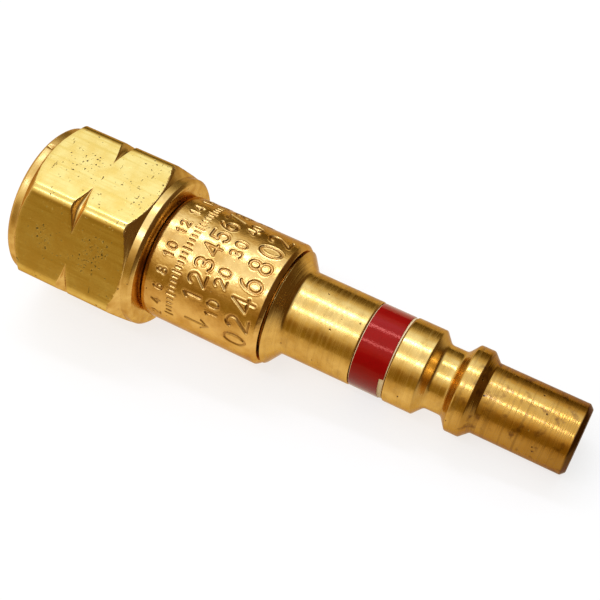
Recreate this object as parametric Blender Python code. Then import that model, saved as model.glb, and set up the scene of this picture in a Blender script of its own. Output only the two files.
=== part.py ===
"""Gas quick connect coupling: a swivel hexagon nut on a plug with a check valve inside.

The coupling lies along X. The nut's open face looks to -X and the plug's tip to +X.
The origin is on the axis, halfway along. Two of the nut's flats look up and down.
"""
import bpy
import bmesh
from math import asin, cos, degrees, pi, radians, sin, sqrt, tau

MM = 0.001

# Clearances
SEAT_GAP = 0.3 * MM
SEAL_GAP = 0.2 * MM

# Union nut: hexagon bar, turned at both ends, with a left-hand thread inside.
# The thread sets the nut's width: the wall is what stays between its relief and a flat.
THREAD_RADIUS = 6.45 * MM
THREAD_DEPTH = 11.8 * MM
RELIEF_DEPTH = 0.75 * MM
RELIEF_WIDTH = 1.4 * MM
MOUTH_CHAMFER = 0.85 * MM
NUT_WALL = 1.53 * MM
HEX_CORNER_BREAK = 0.45 * MM
NUT_LENGTH = 15.8 * MM
NUT_COLLAR_STEP = 0.11 * MM
NUT_EDGE_BREAK = 0.35 * MM
FRONT_COLLAR_LENGTH = 1.15 * MM
REAR_COLLAR_LENGTH = 1.15 * MM
FRONT_CONE_LENGTH = 1.3 * MM
REAR_CONE_LENGTH = 1.1 * MM
NOTCH_WIDTH = 1.85 * MM
NOTCH_DEPTH = 1.16 * MM

# Nose gland: the round nose that the nut pulls onto its seat
GLAND_COLLAR_STEP = 1.35 * MM
GLAND_COLLAR_LENGTH = 2.8 * MM
GLAND_NOSE_LENGTH = 3.7 * MM
GLAND_NOSE_STEP = 1.15 * MM
GLAND_NOSE_FLAT = 0.7 * MM
GLAND_BORE_RADIUS = 1.9 * MM
GLAND_TAIL_LENGTH = 5.9 * MM
GLAND_RING_SETBACK = 1.2 * MM

# Valve body: the round sleeve between the nut and the plug
BODY_WALL = 1.3 * MM
BODY_LENGTH = 14.0 * MM
BODY_FRONT_ROUND = 0.5 * MM
BODY_CHAMFER_LENGTH = 0.45 * MM
BODY_CHAMFER_DROP = 0.4 * MM
WEB_THICKNESS = 0.8 * MM
WEB_HOLE_RADIUS = 3.0 * MM

# Plug pin: cone, neck, colour band groove, land, locking groove, ridge and tip
PIN_SHOULDER_STEP = 0.05 * MM
PIN_CONE_LENGTH = 1.4 * MM
PIN_FILLET = 0.25 * MM
PIN_NECK_WALL = 0.95 * MM
PIN_NECK_LENGTH = 8.0 * MM
BAND_GROOVE_LENGTH = 4.0 * MM
BAND_GROOVE_DEPTH = 0.6 * MM
LAND_LENGTH = 3.25 * MM
LOCK_FLOOR_WALL = 1.3 * MM
LOCK_ENTRY_LENGTH = 0.98 * MM
LOCK_FLOOR_LENGTH = 1.95 * MM
LOCK_EXIT_LENGTH = 0.92 * MM
RIDGE_RISE = 0.08 * MM
RIDGE_LENGTH = 1.53 * MM
RIDGE_CONE_LENGTH = 0.94 * MM
TIP_RISE = 0.32 * MM
TIP_LENGTH = 10.33 * MM
TIP_CHAMFER = 0.45 * MM
PIN_BORE_RADIUS = 2.3 * MM
PIN_BORE_CHAMFER = 0.25 * MM
PIN_TAIL_WALL = 1.6 * MM
PIN_RING_SETBACK = 0.8 * MM

# Colour band: one turn of tape in its groove
BAND_THICKNESS = 0.26 * MM
BAND_WIDTH = 3.4 * MM
BAND_PROUD = -0.06 * MM
BAND_SIDE_GAP = 0.12 * MM
BAND_DRIFT = 0.42 * MM
BAND_END_GAP = radians(5)
BAND_LAP_ANGLE = radians(157)

# Check valve cartridge
PORT_RADIUS = 1.4 * MM
SEAT_WIDTH = 0.85 * MM
SLEEVE_LENGTH = 12.6 * MM
SLEEVE_WALL = 0.4 * MM
FLANGE_STEP = 0.2 * MM
FLANGE_THICKNESS = 0.8 * MM
GUIDE_STEP_WIDTH = 0.4 * MM
SEAT_CONE_SETBACK = 3.6 * MM
CLIP_GROOVE_DEPTH = 0.45 * MM
CLIP_SETBACK = 1.5 * MM
CLIP_THICKNESS = 0.4 * MM
CLIP_WIDTH = 0.7 * MM
CLIP_OPENING = radians(60)
SLEEVE_RING_SETBACK = 0.8 * MM
GUIDE_THICKNESS = 1.0 * MM
GUIDE_HUB_WALL = 0.3 * MM
GUIDE_RIM_WIDTH = 0.4 * MM
GUIDE_PORTS = 3
GUIDE_PORT_SWEEP = radians(84)
STEM_RADIUS = 0.6 * MM
HEAD_LAP = 0.3 * MM
HEAD_THICKNESS = 1.1 * MM
LIP_THICKNESS = 0.5 * MM
SPRING_WIRE = 0.3 * MM
SPRING_STEM_GAP = 0.6 * MM
SPRING_TURNS = 4.5
FILTER_THICKNESS = 1.2 * MM
FILTER_EDGE_BREAK = 0.2 * MM

# Seal rings: the thickness of each ring's round section
GLAND_RING_SECTION = 1.0 * MM
PIN_RING_SECTION = 0.8 * MM
SLEEVE_RING_SECTION = 0.8 * MM
POPPET_RING_SECTION = 0.7 * MM

# Number of sides of round pieces
LARGE_SIDES = 48
SMALL_SIDES = 32
RING_SIDES = 24
SECTION_SIDES = 6
GUIDE_SPOKE_SIDES = 2
GUIDE_PORT_SIDES = 6

# Stations along the axis, from the nut's open face to the plug's tip
OVERALL_LENGTH = (
    NUT_LENGTH + SEAT_GAP + BODY_LENGTH + SEAT_GAP + PIN_CONE_LENGTH + PIN_NECK_LENGTH
    + BAND_GROOVE_LENGTH + LAND_LENGTH + LOCK_ENTRY_LENGTH + LOCK_FLOOR_LENGTH
    + LOCK_EXIT_LENGTH + RIDGE_LENGTH + RIDGE_CONE_LENGTH + TIP_LENGTH
)
NUT_FACE = -OVERALL_LENGTH / 2
NUT_REAR = NUT_FACE + NUT_LENGTH
BODY_FRONT = NUT_REAR + SEAT_GAP
BODY_REAR = BODY_FRONT + BODY_LENGTH
PIN_SHOULDER = BODY_REAR + SEAT_GAP
NECK_START = PIN_SHOULDER + PIN_CONE_LENGTH
BAND_START = NECK_START + PIN_NECK_LENGTH
LAND_START = BAND_START + BAND_GROOVE_LENGTH
LAND_END = LAND_START + LAND_LENGTH
LOCK_FLOOR_START = LAND_END + LOCK_ENTRY_LENGTH
LOCK_FLOOR_END = LOCK_FLOOR_START + LOCK_FLOOR_LENGTH
RIDGE_START = LOCK_FLOOR_END + LOCK_EXIT_LENGTH
RIDGE_END = RIDGE_START + RIDGE_LENGTH
TIP_START = RIDGE_END + RIDGE_CONE_LENGTH
TIP_END = TIP_START + TIP_LENGTH

GLAND_SEAT = NUT_FACE + THREAD_DEPTH - SEAT_GAP
GLAND_COLLAR_FRONT = GLAND_SEAT - GLAND_COLLAR_LENGTH
GLAND_NOSE_TIP = GLAND_COLLAR_FRONT - GLAND_NOSE_LENGTH
GLAND_TAIL_END = BODY_FRONT + GLAND_TAIL_LENGTH
WEB_FRONT = GLAND_TAIL_END + SEAT_GAP
WEB_REAR = WEB_FRONT + WEB_THICKNESS
SLEEVE_FRONT = WEB_REAR + SEAT_GAP
FLANGE_REAR = SLEEVE_FRONT + FLANGE_THICKNESS
PIN_TAIL_END = FLANGE_REAR + SEAT_GAP
SLEEVE_REAR = SLEEVE_FRONT + SLEEVE_LENGTH
FILTER_FRONT = SLEEVE_REAR + SEAT_GAP
FILTER_REAR = FILTER_FRONT + FILTER_THICKNESS
POCKET_END = FILTER_REAR + SEAT_GAP

# Radii that follow from the pieces that they hold
RELIEF_RADIUS = THREAD_RADIUS + RELIEF_DEPTH
HEX_ACROSS_FLATS = 2 * (RELIEF_RADIUS + NUT_WALL)
NUT_COLLAR_RADIUS = HEX_ACROSS_FLATS / 2 - NUT_COLLAR_STEP
GLAND_COLLAR_RADIUS = THREAD_RADIUS - SEAT_GAP
GLAND_NECK_RADIUS = GLAND_COLLAR_RADIUS - GLAND_COLLAR_STEP
GLAND_NOSE_RADIUS = GLAND_COLLAR_RADIUS - GLAND_NOSE_STEP
GLAND_NOSE_FLAT_RADIUS = GLAND_BORE_RADIUS + GLAND_NOSE_FLAT
NUT_NECK_HOLE_RADIUS = GLAND_NECK_RADIUS + SEAT_GAP
BODY_FRONT_BORE_RADIUS = GLAND_NECK_RADIUS + SEAT_GAP
VALVE_BORE_RADIUS = PORT_RADIUS + SEAT_WIDTH
GUIDE_BORE_RADIUS = VALVE_BORE_RADIUS + GUIDE_STEP_WIDTH
CLIP_GROOVE_RADIUS = GUIDE_BORE_RADIUS + CLIP_GROOVE_DEPTH
SLEEVE_RADIUS = CLIP_GROOVE_RADIUS + SLEEVE_WALL
POCKET_RADIUS = SLEEVE_RADIUS + SEAT_GAP
PIN_TAIL_RADIUS = POCKET_RADIUS + PIN_TAIL_WALL
FLANGE_RADIUS = PIN_TAIL_RADIUS - FLANGE_STEP
BODY_REAR_BORE_RADIUS = PIN_TAIL_RADIUS + SEAT_GAP
BODY_RADIUS = BODY_REAR_BORE_RADIUS + BODY_WALL
PIN_SHOULDER_RADIUS = BODY_RADIUS - BODY_CHAMFER_DROP - PIN_SHOULDER_STEP
PIN_NECK_RADIUS = POCKET_RADIUS + PIN_NECK_WALL
LOCK_FLOOR_RADIUS = PIN_BORE_RADIUS + LOCK_FLOOR_WALL
RIDGE_RADIUS = PIN_NECK_RADIUS + RIDGE_RISE
TIP_RADIUS = LOCK_FLOOR_RADIUS + TIP_RISE
CLIP_OUTER_RADIUS = CLIP_GROOVE_RADIUS - SEAL_GAP
CLIP_INNER_RADIUS = CLIP_OUTER_RADIUS - CLIP_WIDTH
GUIDE_RADIUS = GUIDE_BORE_RADIUS - SEAT_GAP
GUIDE_HOLE_RADIUS = STEM_RADIUS + SEAT_GAP
GUIDE_HUB_RADIUS = GUIDE_HOLE_RADIUS + GUIDE_HUB_WALL
HEAD_RADIUS = PORT_RADIUS + HEAD_LAP
SPRING_RADIUS = STEM_RADIUS + SPRING_STEM_GAP + SPRING_WIRE / 2
LIP_RADIUS = PORT_RADIUS - SEAT_GAP

# Stations inside the cartridge
CLIP_FRONT = SLEEVE_FRONT + CLIP_SETBACK
CLIP_REAR = CLIP_FRONT + CLIP_THICKNESS
GUIDE_FRONT = CLIP_REAR + SEAT_GAP
GUIDE_REAR = GUIDE_FRONT + GUIDE_THICKNESS
GUIDE_STEP = GUIDE_REAR + SEAT_GAP
SEAT_CONE_START = SLEEVE_REAR - SEAT_CONE_SETBACK
SEAT_CONE_END = SEAT_CONE_START + SEAT_WIDTH
STEM_END = GUIDE_FRONT - SEAT_GAP

# Seal grooves: where each one starts
GLAND_GROOVE = BODY_FRONT + GLAND_RING_SETBACK
PIN_GROOVE = PIN_SHOULDER - PIN_RING_SETBACK - PIN_RING_SECTION - 2 * SEAL_GAP
SLEEVE_GROOVE = SLEEVE_REAR - SLEEVE_RING_SETBACK - SLEEVE_RING_SECTION - 2 * SEAL_GAP


def principled(name, colour, metallic, roughness):
    """Give a material of one colour, with its metallic and roughness values."""
    material = bpy.data.materials.new(name)
    material.use_nodes = True
    shader = material.node_tree.nodes["Principled BSDF"]
    shader.inputs["Base Color"].default_value = (*colour, 1.0)
    shader.inputs["Metallic"].default_value = metallic
    shader.inputs["Roughness"].default_value = roughness
    return material


def add_object(name, bm, material, crease=radians(30)):
    """Turn a bmesh into an object with its faces pointing out and its edges sharp."""
    bmesh.ops.remove_doubles(bm, verts=bm.verts, dist=1e-7)
    bmesh.ops.recalc_face_normals(bm, faces=bm.faces)
    mesh = bpy.data.meshes.new(name)
    bm.to_mesh(mesh)
    bm.free()
    mesh.shade_smooth()
    mesh.set_sharp_from_angle(angle=crease)
    if material:
        mesh.materials.append(material)
    piece = bpy.data.objects.new(name, mesh)
    bpy.context.collection.objects.link(piece)
    return piece


def turned(name, outline, material, sides):
    """Spin an outline of (x, radius) points round the axis.

    An outline that starts and ends on the axis makes a solid piece. Any other is closed
    back to its first point and makes a hollow one.
    """
    bm = bmesh.new()
    corners = [bm.verts.new((x, radius, 0.0)) for x, radius in outline]
    edges = [bm.edges.new(pair) for pair in zip(corners, corners[1:])]
    if outline[0][1] > 0.0:
        edges.append(bm.edges.new((corners[-1], corners[0])))
    bmesh.ops.spin(
        bm, geom=corners + edges, cent=(0, 0, 0), axis=(1, 0, 0), angle=tau, steps=sides, use_merge=True
    )
    return add_object(name, bm, material)


def lofted(name, sections, material):
    """Join closed sections of equal count into one solid with a cap at each end."""
    bm = bmesh.new()
    rings = [[bm.verts.new(point) for point in section] for section in sections]
    for ring, following in zip(rings, rings[1:]):
        for i, corner in enumerate(ring):
            j = (i + 1) % len(ring)
            bm.faces.new((corner, ring[j], following[j], following[i]))
    bm.faces.new(rings[0])
    bm.faces.new(rings[-1][::-1])
    return add_object(name, bm, material)


def polar(x, radius, angle):
    """Give the point at a distance from the axis, the angle turning from +Y to +Z."""
    return (x, radius * cos(angle), radius * sin(angle))


def arc(x, radius, size, start, end, steps):
    """Give points of an arc about (x, radius), with 0 along +X and 90 degrees outwards."""
    angles = [radians(start + (end - start) * i / steps) for i in range(steps + 1)]
    return [(x + size * cos(a), radius + size * sin(a)) for a in angles]


def ring_groove(start, section, bore_radius, outer_radius):
    """Give the corners of a groove, cut from outside, for a seal ring that meets a bore."""
    width = section + 2 * SEAL_GAP
    floor = bore_radius - section - 2 * SEAL_GAP
    return [(start, outer_radius), (start, floor), (start + width, floor), (start + width, outer_radius)]


def seal_ring(name, groove_start, section, bore_radius, material):
    """Make a seal ring in the middle of the groove that ring_groove cuts for it."""
    x = groove_start + SEAL_GAP + section / 2
    radius = bore_radius - SEAL_GAP - section / 2
    outline = arc(x, radius, section / 2, 0, 360, SECTION_SIDES)[:-1]
    return turned(name, outline, material, RING_SIDES)


def cut(piece, cutter, operation="DIFFERENCE"):
    """Cut a piece by another solid, which stays hidden as the guide of the cut."""
    modifier = piece.modifiers.new(cutter.name, "BOOLEAN")
    modifier.operation = operation
    modifier.object = cutter
    cutter.hide_render = True
    cutter.display_type = "WIRE"


def hexagon_bar(name):
    """Make the bar that the nut is turned from, with its six long corners rounded."""
    bm = bmesh.new()
    corner_radius = HEX_ACROSS_FLATS / sqrt(3)
    sections = [
        [bm.verts.new(polar(x, corner_radius, i * pi / 3)) for i in range(6)]
        for x in (NUT_FACE - NUT_LENGTH / 2, NUT_REAR + NUT_LENGTH / 2)
    ]
    front, rear = sections
    bm.faces.new(front)
    bm.faces.new(rear[::-1])
    for i in range(6):
        j = (i + 1) % 6
        bm.faces.new((front[i], front[j], rear[j], rear[i]))
    corners = [bm.edges.get((front[i], rear[i])) for i in range(6)]
    bmesh.ops.bevel(
        bm, geom=corners, offset=HEX_CORNER_BREAK, segments=3, profile=0.5, affect="EDGES"
    )
    return add_object(name, bm, None)


def make_union_nut(brass):
    """Turn the nut's collars, cones and corner notches, and leave the flats between them."""
    corner = HEX_ACROSS_FLATS / sqrt(3)
    blank = corner + NUT_EDGE_BREAK
    front_slope = (corner - NUT_COLLAR_RADIUS) / FRONT_CONE_LENGTH
    rear_slope = (corner - NUT_COLLAR_RADIUS) / REAR_CONE_LENGTH
    front_cone = NUT_FACE + FRONT_COLLAR_LENGTH
    rear_cone = NUT_REAR - REAR_COLLAR_LENGTH
    notch = (front_cone + rear_cone) / 2
    notch_floor = corner - NOTCH_DEPTH
    notch_half = NOTCH_WIDTH / 2 * (blank - notch_floor) / NOTCH_DEPTH
    seat = NUT_FACE + THREAD_DEPTH
    outline = [
        (NUT_FACE, NUT_COLLAR_RADIUS - NUT_EDGE_BREAK),
        (NUT_FACE + NUT_EDGE_BREAK, NUT_COLLAR_RADIUS),
        (front_cone, NUT_COLLAR_RADIUS),
        (front_cone + (blank - NUT_COLLAR_RADIUS) / front_slope, blank),
        (notch - notch_half, blank),
        (notch, notch_floor),
        (notch + notch_half, blank),
        (rear_cone - (blank - NUT_COLLAR_RADIUS) / rear_slope, blank),
        (rear_cone, NUT_COLLAR_RADIUS),
        (NUT_REAR - NUT_EDGE_BREAK, NUT_COLLAR_RADIUS),
        (NUT_REAR, NUT_COLLAR_RADIUS - NUT_EDGE_BREAK),
        (NUT_REAR, NUT_NECK_HOLE_RADIUS),
        (seat, NUT_NECK_HOLE_RADIUS),
        (seat, RELIEF_RADIUS),
        (seat - RELIEF_WIDTH, RELIEF_RADIUS),
        (seat - RELIEF_WIDTH - RELIEF_DEPTH / 2, THREAD_RADIUS),
        (NUT_FACE + MOUTH_CHAMFER, THREAD_RADIUS),
        (NUT_FACE, THREAD_RADIUS + MOUTH_CHAMFER),
    ]
    nut = turned("union_nut", outline, brass, LARGE_SIDES)
    cut(nut, hexagon_bar("hexagon_bar_guide"), "INTERSECT")
    return nut


def make_nose_gland(brass):
    """Turn the gland: round nose, collar held in the nut, neck, and tail in the body."""
    reach = sqrt(GLAND_NOSE_RADIUS ** 2 - GLAND_NOSE_FLAT_RADIUS ** 2)
    centre = GLAND_NOSE_TIP + reach
    first = 180 - degrees(asin(GLAND_NOSE_FLAT_RADIUS / GLAND_NOSE_RADIUS))
    last = 90 + degrees(asin((centre - GLAND_COLLAR_FRONT) / GLAND_NOSE_RADIUS))
    outline = [(GLAND_NOSE_TIP, GLAND_BORE_RADIUS)]
    outline += arc(centre, 0.0, GLAND_NOSE_RADIUS, first, last, 6)
    outline += [
        (GLAND_COLLAR_FRONT, GLAND_COLLAR_RADIUS),
        (GLAND_SEAT, GLAND_COLLAR_RADIUS),
        (GLAND_SEAT, GLAND_NECK_RADIUS),
    ]
    outline += ring_groove(
        GLAND_GROOVE, GLAND_RING_SECTION, BODY_FRONT_BORE_RADIUS, GLAND_NECK_RADIUS
    )
    outline += [(GLAND_TAIL_END, GLAND_NECK_RADIUS), (GLAND_TAIL_END, GLAND_BORE_RADIUS)]
    return turned("nose_gland", outline, brass, SMALL_SIDES)


def make_valve_body(brass):
    """Turn the body: gland bore, web with its gas hole, and bore for the plug's tail."""
    edge = BODY_FRONT_ROUND
    outline = arc(BODY_FRONT + edge, BODY_RADIUS - edge, edge, 180, 90, 4)
    outline += [
        (BODY_REAR - BODY_CHAMFER_LENGTH, BODY_RADIUS),
        (BODY_REAR, BODY_RADIUS - BODY_CHAMFER_DROP),
        (BODY_REAR, BODY_REAR_BORE_RADIUS),
        (WEB_REAR, BODY_REAR_BORE_RADIUS),
        (WEB_REAR, WEB_HOLE_RADIUS),
        (WEB_FRONT, WEB_HOLE_RADIUS),
        (WEB_FRONT, BODY_FRONT_BORE_RADIUS),
        (BODY_FRONT, BODY_FRONT_BORE_RADIUS),
    ]
    return turned("valve_body", outline, brass, LARGE_SIDES)


def make_plug_pin(brass):
    """Turn the plug, from its tail in the body to its tip, with the pocket and bore."""
    band_floor = PIN_NECK_RADIUS - BAND_GROOVE_DEPTH
    outline = [(PIN_TAIL_END, POCKET_RADIUS), (PIN_TAIL_END, PIN_TAIL_RADIUS)]
    outline += ring_groove(PIN_GROOVE, PIN_RING_SECTION, BODY_REAR_BORE_RADIUS, PIN_TAIL_RADIUS)
    outline += [
        (PIN_SHOULDER, PIN_TAIL_RADIUS),
        (PIN_SHOULDER, PIN_SHOULDER_RADIUS),
        (NECK_START - PIN_FILLET, PIN_NECK_RADIUS + PIN_FILLET),
        (NECK_START, PIN_NECK_RADIUS),
        (BAND_START, PIN_NECK_RADIUS),
        (BAND_START, band_floor),
        (LAND_START, band_floor),
        (LAND_START, PIN_NECK_RADIUS),
        (LAND_END, PIN_NECK_RADIUS),
        (LOCK_FLOOR_START, LOCK_FLOOR_RADIUS),
        (LOCK_FLOOR_END, LOCK_FLOOR_RADIUS),
        (RIDGE_START, RIDGE_RADIUS),
        (RIDGE_END, RIDGE_RADIUS),
        (TIP_START, TIP_RADIUS),
        (TIP_END - TIP_CHAMFER, TIP_RADIUS),
        (TIP_END, TIP_RADIUS - TIP_CHAMFER),
        (TIP_END, PIN_BORE_RADIUS + PIN_BORE_CHAMFER),
        (TIP_END - PIN_BORE_CHAMFER, PIN_BORE_RADIUS),
        (POCKET_END, PIN_BORE_RADIUS),
        (POCKET_END, POCKET_RADIUS),
    ]
    return turned("plug_pin", outline, brass, LARGE_SIDES)


def make_colour_band(tape):
    """Wind one turn of tape in its groove, its far end drifting off the groove's wall."""
    outer = PIN_NECK_RADIUS + BAND_PROUD
    inner = outer - BAND_THICKNESS
    right = LAND_START - BAND_SIDE_GAP
    sweep = tau - BAND_END_GAP
    sections = []
    for i in range(LARGE_SIDES + 1):
        share = i / LARGE_SIDES
        angle = BAND_LAP_ANGLE - sweep * share
        end = right - BAND_DRIFT * share
        start = end - BAND_WIDTH
        corners = [(start, inner), (end, inner), (end, outer), (start, outer)]
        sections.append([polar(x, radius, angle) for x, radius in corners])
    return lofted("colour_band", sections, tape)


def make_cartridge_sleeve(steel):
    """Turn the sleeve that holds the valve: flange, guide bore, valve bore and seat cone."""
    clip_groove = CLIP_FRONT - SEAT_GAP
    outline = [
        (SLEEVE_FRONT, GUIDE_BORE_RADIUS),
        (SLEEVE_FRONT, FLANGE_RADIUS),
        (FLANGE_REAR, FLANGE_RADIUS),
        (FLANGE_REAR, SLEEVE_RADIUS),
    ]
    outline += ring_groove(SLEEVE_GROOVE, SLEEVE_RING_SECTION, POCKET_RADIUS, SLEEVE_RADIUS)
    outline += [
        (SLEEVE_REAR, SLEEVE_RADIUS),
        (SLEEVE_REAR, PORT_RADIUS),
        (SEAT_CONE_END, PORT_RADIUS),
        (SEAT_CONE_START, VALVE_BORE_RADIUS),
        (GUIDE_STEP, VALVE_BORE_RADIUS),
        (GUIDE_STEP, GUIDE_BORE_RADIUS),
        (GUIDE_FRONT, GUIDE_BORE_RADIUS),
        (GUIDE_FRONT, CLIP_GROOVE_RADIUS),
        (clip_groove, CLIP_GROOVE_RADIUS),
        (clip_groove, GUIDE_BORE_RADIUS),
    ]
    return turned("cartridge_sleeve", outline, steel, SMALL_SIDES)


def poppet_groove_start():
    """Give where the poppet's seal groove starts and how far out its ring then reaches.

    The ring sits on the seat cone, which falls by as much as it runs.
    """
    reach = POPPET_RING_SECTION / 2
    radius = PORT_RADIUS - reach + SEAL_GAP
    cone_sum = SEAT_CONE_START + VALVE_BORE_RADIUS
    centre = cone_sum - radius - (reach + SEAL_GAP) * sqrt(2)
    return centre - reach - SEAL_GAP, radius + reach


def make_poppet(brass):
    """Turn the poppet: guided stem, head, seal groove and the lip that keeps the seal."""
    groove, ring_outside = poppet_groove_start()
    groove_end = groove + POPPET_RING_SECTION + 2 * SEAL_GAP
    floor = ring_outside - POPPET_RING_SECTION - SEAL_GAP
    outline = [
        (STEM_END, 0.0),
        (STEM_END, STEM_RADIUS),
        (groove - HEAD_THICKNESS, STEM_RADIUS),
        (groove - HEAD_THICKNESS, HEAD_RADIUS),
        (groove, HEAD_RADIUS),
        (groove, floor),
        (groove_end, floor),
        (groove_end, LIP_RADIUS),
        (groove_end + LIP_THICKNESS / 2, LIP_RADIUS),
        (groove_end + LIP_THICKNESS, LIP_RADIUS / 2),
        (groove_end + LIP_THICKNESS, 0.0),
    ]
    return turned("poppet", outline, brass, RING_SIDES)


def make_poppet_seal(rubber):
    """Stretch the soft seal ring into the poppet's groove."""
    groove, ring_outside = poppet_groove_start()
    return seal_ring("poppet_seal", groove, POPPET_RING_SECTION, ring_outside + SEAL_GAP, rubber)


def make_valve_spring(steel):
    """Coil the spring between the guide and the poppet's head, its wire round."""
    groove, _ = poppet_groove_start()
    start = GUIDE_REAR + SEAL_GAP + SPRING_WIRE / 2
    end = groove - HEAD_THICKNESS - SEAL_GAP - SPRING_WIRE / 2
    steps = int(SPRING_TURNS * RING_SIDES * 2 / 3)
    sections = []
    for i in range(steps + 1):
        share = i / steps
        angle = tau * SPRING_TURNS * share
        x = start + (end - start) * share
        wire = arc(x, SPRING_RADIUS, SPRING_WIRE / 2, 0, 360, SECTION_SIDES)[:-1]
        sections.append([polar(along, radius, angle) for along, radius in wire])
    return lofted("valve_spring", sections, steel)


def make_stem_guide(brass):
    """Blank the spider that guides the stem: hub, rim, and spokes between its gas ports."""
    spoke_sweep = tau / GUIDE_PORTS - GUIDE_PORT_SWEEP
    angles = []
    is_port = []
    for port in range(GUIDE_PORTS):
        start = tau * port / GUIDE_PORTS
        for sweep, steps in ((spoke_sweep, GUIDE_SPOKE_SIDES), (GUIDE_PORT_SWEEP, GUIDE_PORT_SIDES)):
            angles += [start + sweep * i / steps for i in range(steps)]
            is_port += [steps == GUIDE_PORT_SIDES] * steps
            start += sweep
    radii = (GUIDE_HOLE_RADIUS, GUIDE_HUB_RADIUS, GUIDE_RADIUS - GUIDE_RIM_WIDTH, GUIDE_RADIUS)
    bm = bmesh.new()
    rays = [[bm.verts.new(polar(GUIDE_FRONT, radius, angle)) for radius in radii] for angle in angles]
    for i, ray in enumerate(rays):
        following = rays[(i + 1) % len(rays)]
        for band in range(3):
            if band == 1 and is_port[i]:
                continue
            bm.faces.new((ray[band], ray[band + 1], following[band + 1], following[band]))
    raised = bmesh.ops.extrude_face_region(bm, geom=bm.faces[:])["geom"]
    corners = [item for item in raised if isinstance(item, bmesh.types.BMVert)]
    bmesh.ops.translate(bm, verts=corners, vec=(GUIDE_THICKNESS, 0, 0))
    return add_object("stem_guide", bm, brass)


def make_guide_clip(steel):
    """Bend the open snap ring that keeps the guide in the sleeve."""
    sweep = tau - CLIP_OPENING
    sections = []
    for i in range(RING_SIDES + 1):
        angle = CLIP_OPENING / 2 + sweep * i / RING_SIDES
        corners = [
            (CLIP_FRONT, CLIP_INNER_RADIUS),
            (CLIP_REAR, CLIP_INNER_RADIUS),
            (CLIP_REAR, CLIP_OUTER_RADIUS),
            (CLIP_FRONT, CLIP_OUTER_RADIUS),
        ]
        sections.append([polar(x, radius, angle) for x, radius in corners])
    return lofted("guide_clip", sections, steel)


def make_dust_filter(bronze):
    """Press the porous disc that keeps dust off the seat, with its edges broken."""
    radius = POCKET_RADIUS - SEAT_GAP
    edge = FILTER_EDGE_BREAK
    outline = [
        (FILTER_FRONT, 0.0),
        (FILTER_FRONT, radius - edge),
        (FILTER_FRONT + edge, radius),
        (FILTER_REAR - edge, radius),
        (FILTER_REAR, radius - edge),
        (FILTER_REAR, 0.0),
    ]
    return turned("dust_filter", outline, bronze, SMALL_SIDES)


for leftover in list(bpy.data.objects):
    bpy.data.objects.remove(leftover)

bar_brass = principled("bar brass", (0.78, 0.60, 0.22), 1.0, 0.3)
cast_brass = principled("body brass", (0.72, 0.47, 0.18), 1.0, 0.35)
spring_steel = principled("spring steel", (0.62, 0.62, 0.60), 1.0, 0.35)
plain_steel = principled("stainless steel", (0.58, 0.58, 0.57), 1.0, 0.4)
nitrile = principled("nitrile rubber", (0.03, 0.03, 0.03), 0.0, 0.6)
red_tape = principled("red tape", (0.35, 0.0, 0.01), 0.0, 0.25)
porous_bronze = principled("porous bronze", (0.55, 0.36, 0.18), 1.0, 0.7)

make_union_nut(bar_brass)
make_nose_gland(bar_brass)
make_valve_body(cast_brass)
make_plug_pin(bar_brass)
make_colour_band(red_tape)
make_cartridge_sleeve(plain_steel)
make_poppet(bar_brass)
make_poppet_seal(nitrile)
make_valve_spring(spring_steel)
make_stem_guide(bar_brass)
make_guide_clip(spring_steel)
make_dust_filter(porous_bronze)
seal_ring("gland_seal", GLAND_GROOVE, GLAND_RING_SECTION, BODY_FRONT_BORE_RADIUS, nitrile)
seal_ring("pin_seal", PIN_GROOVE, PIN_RING_SECTION, BODY_REAR_BORE_RADIUS, nitrile)
seal_ring("sleeve_seal", SLEEVE_GROOVE, SLEEVE_RING_SECTION, POCKET_RADIUS, nitrile)
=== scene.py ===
"""Looks of a gas quick connect coupling: a brass plug with a swivel hexagon nut and a red band."""
import math

import bmesh
import bpy
import numpy as np
from mathutils import Matrix, Vector


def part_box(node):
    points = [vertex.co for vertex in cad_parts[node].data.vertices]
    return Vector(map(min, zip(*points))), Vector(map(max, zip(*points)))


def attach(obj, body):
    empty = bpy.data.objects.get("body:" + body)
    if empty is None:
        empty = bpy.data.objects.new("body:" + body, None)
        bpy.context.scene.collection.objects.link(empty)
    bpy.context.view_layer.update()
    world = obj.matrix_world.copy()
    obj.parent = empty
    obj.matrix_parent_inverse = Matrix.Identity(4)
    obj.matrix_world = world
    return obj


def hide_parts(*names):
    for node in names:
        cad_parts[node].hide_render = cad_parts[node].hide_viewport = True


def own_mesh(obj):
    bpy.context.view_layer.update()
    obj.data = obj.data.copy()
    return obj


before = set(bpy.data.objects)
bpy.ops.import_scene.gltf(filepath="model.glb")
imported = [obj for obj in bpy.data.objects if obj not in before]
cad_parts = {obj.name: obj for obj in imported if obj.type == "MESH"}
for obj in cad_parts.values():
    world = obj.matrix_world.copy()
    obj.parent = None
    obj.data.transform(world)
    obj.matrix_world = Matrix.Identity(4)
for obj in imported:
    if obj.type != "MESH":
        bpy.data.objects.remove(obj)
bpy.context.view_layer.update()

MM = 0.001

# Studio: the coupling lies on a white table, on the nut's lower flat and the plug's tip, under
# two lamps and a ceiling that is bright overhead and darker and warmer towards the walls.
# The camera looks down on it from its side, a little round towards the plug.
VIEW_AZIMUTH = math.radians(25.79)
VIEW_ELEVATION = math.radians(55.09)
VIEW_ROLL = math.radians(2.97)
VIEW_DISTANCE = 135.68 * MM
VIEW_AIM = Vector((-0.645, 1.040, 0.653)) * MM
VIEW_LENS = 76.11
FILM_WIDTH = 36.0

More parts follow.
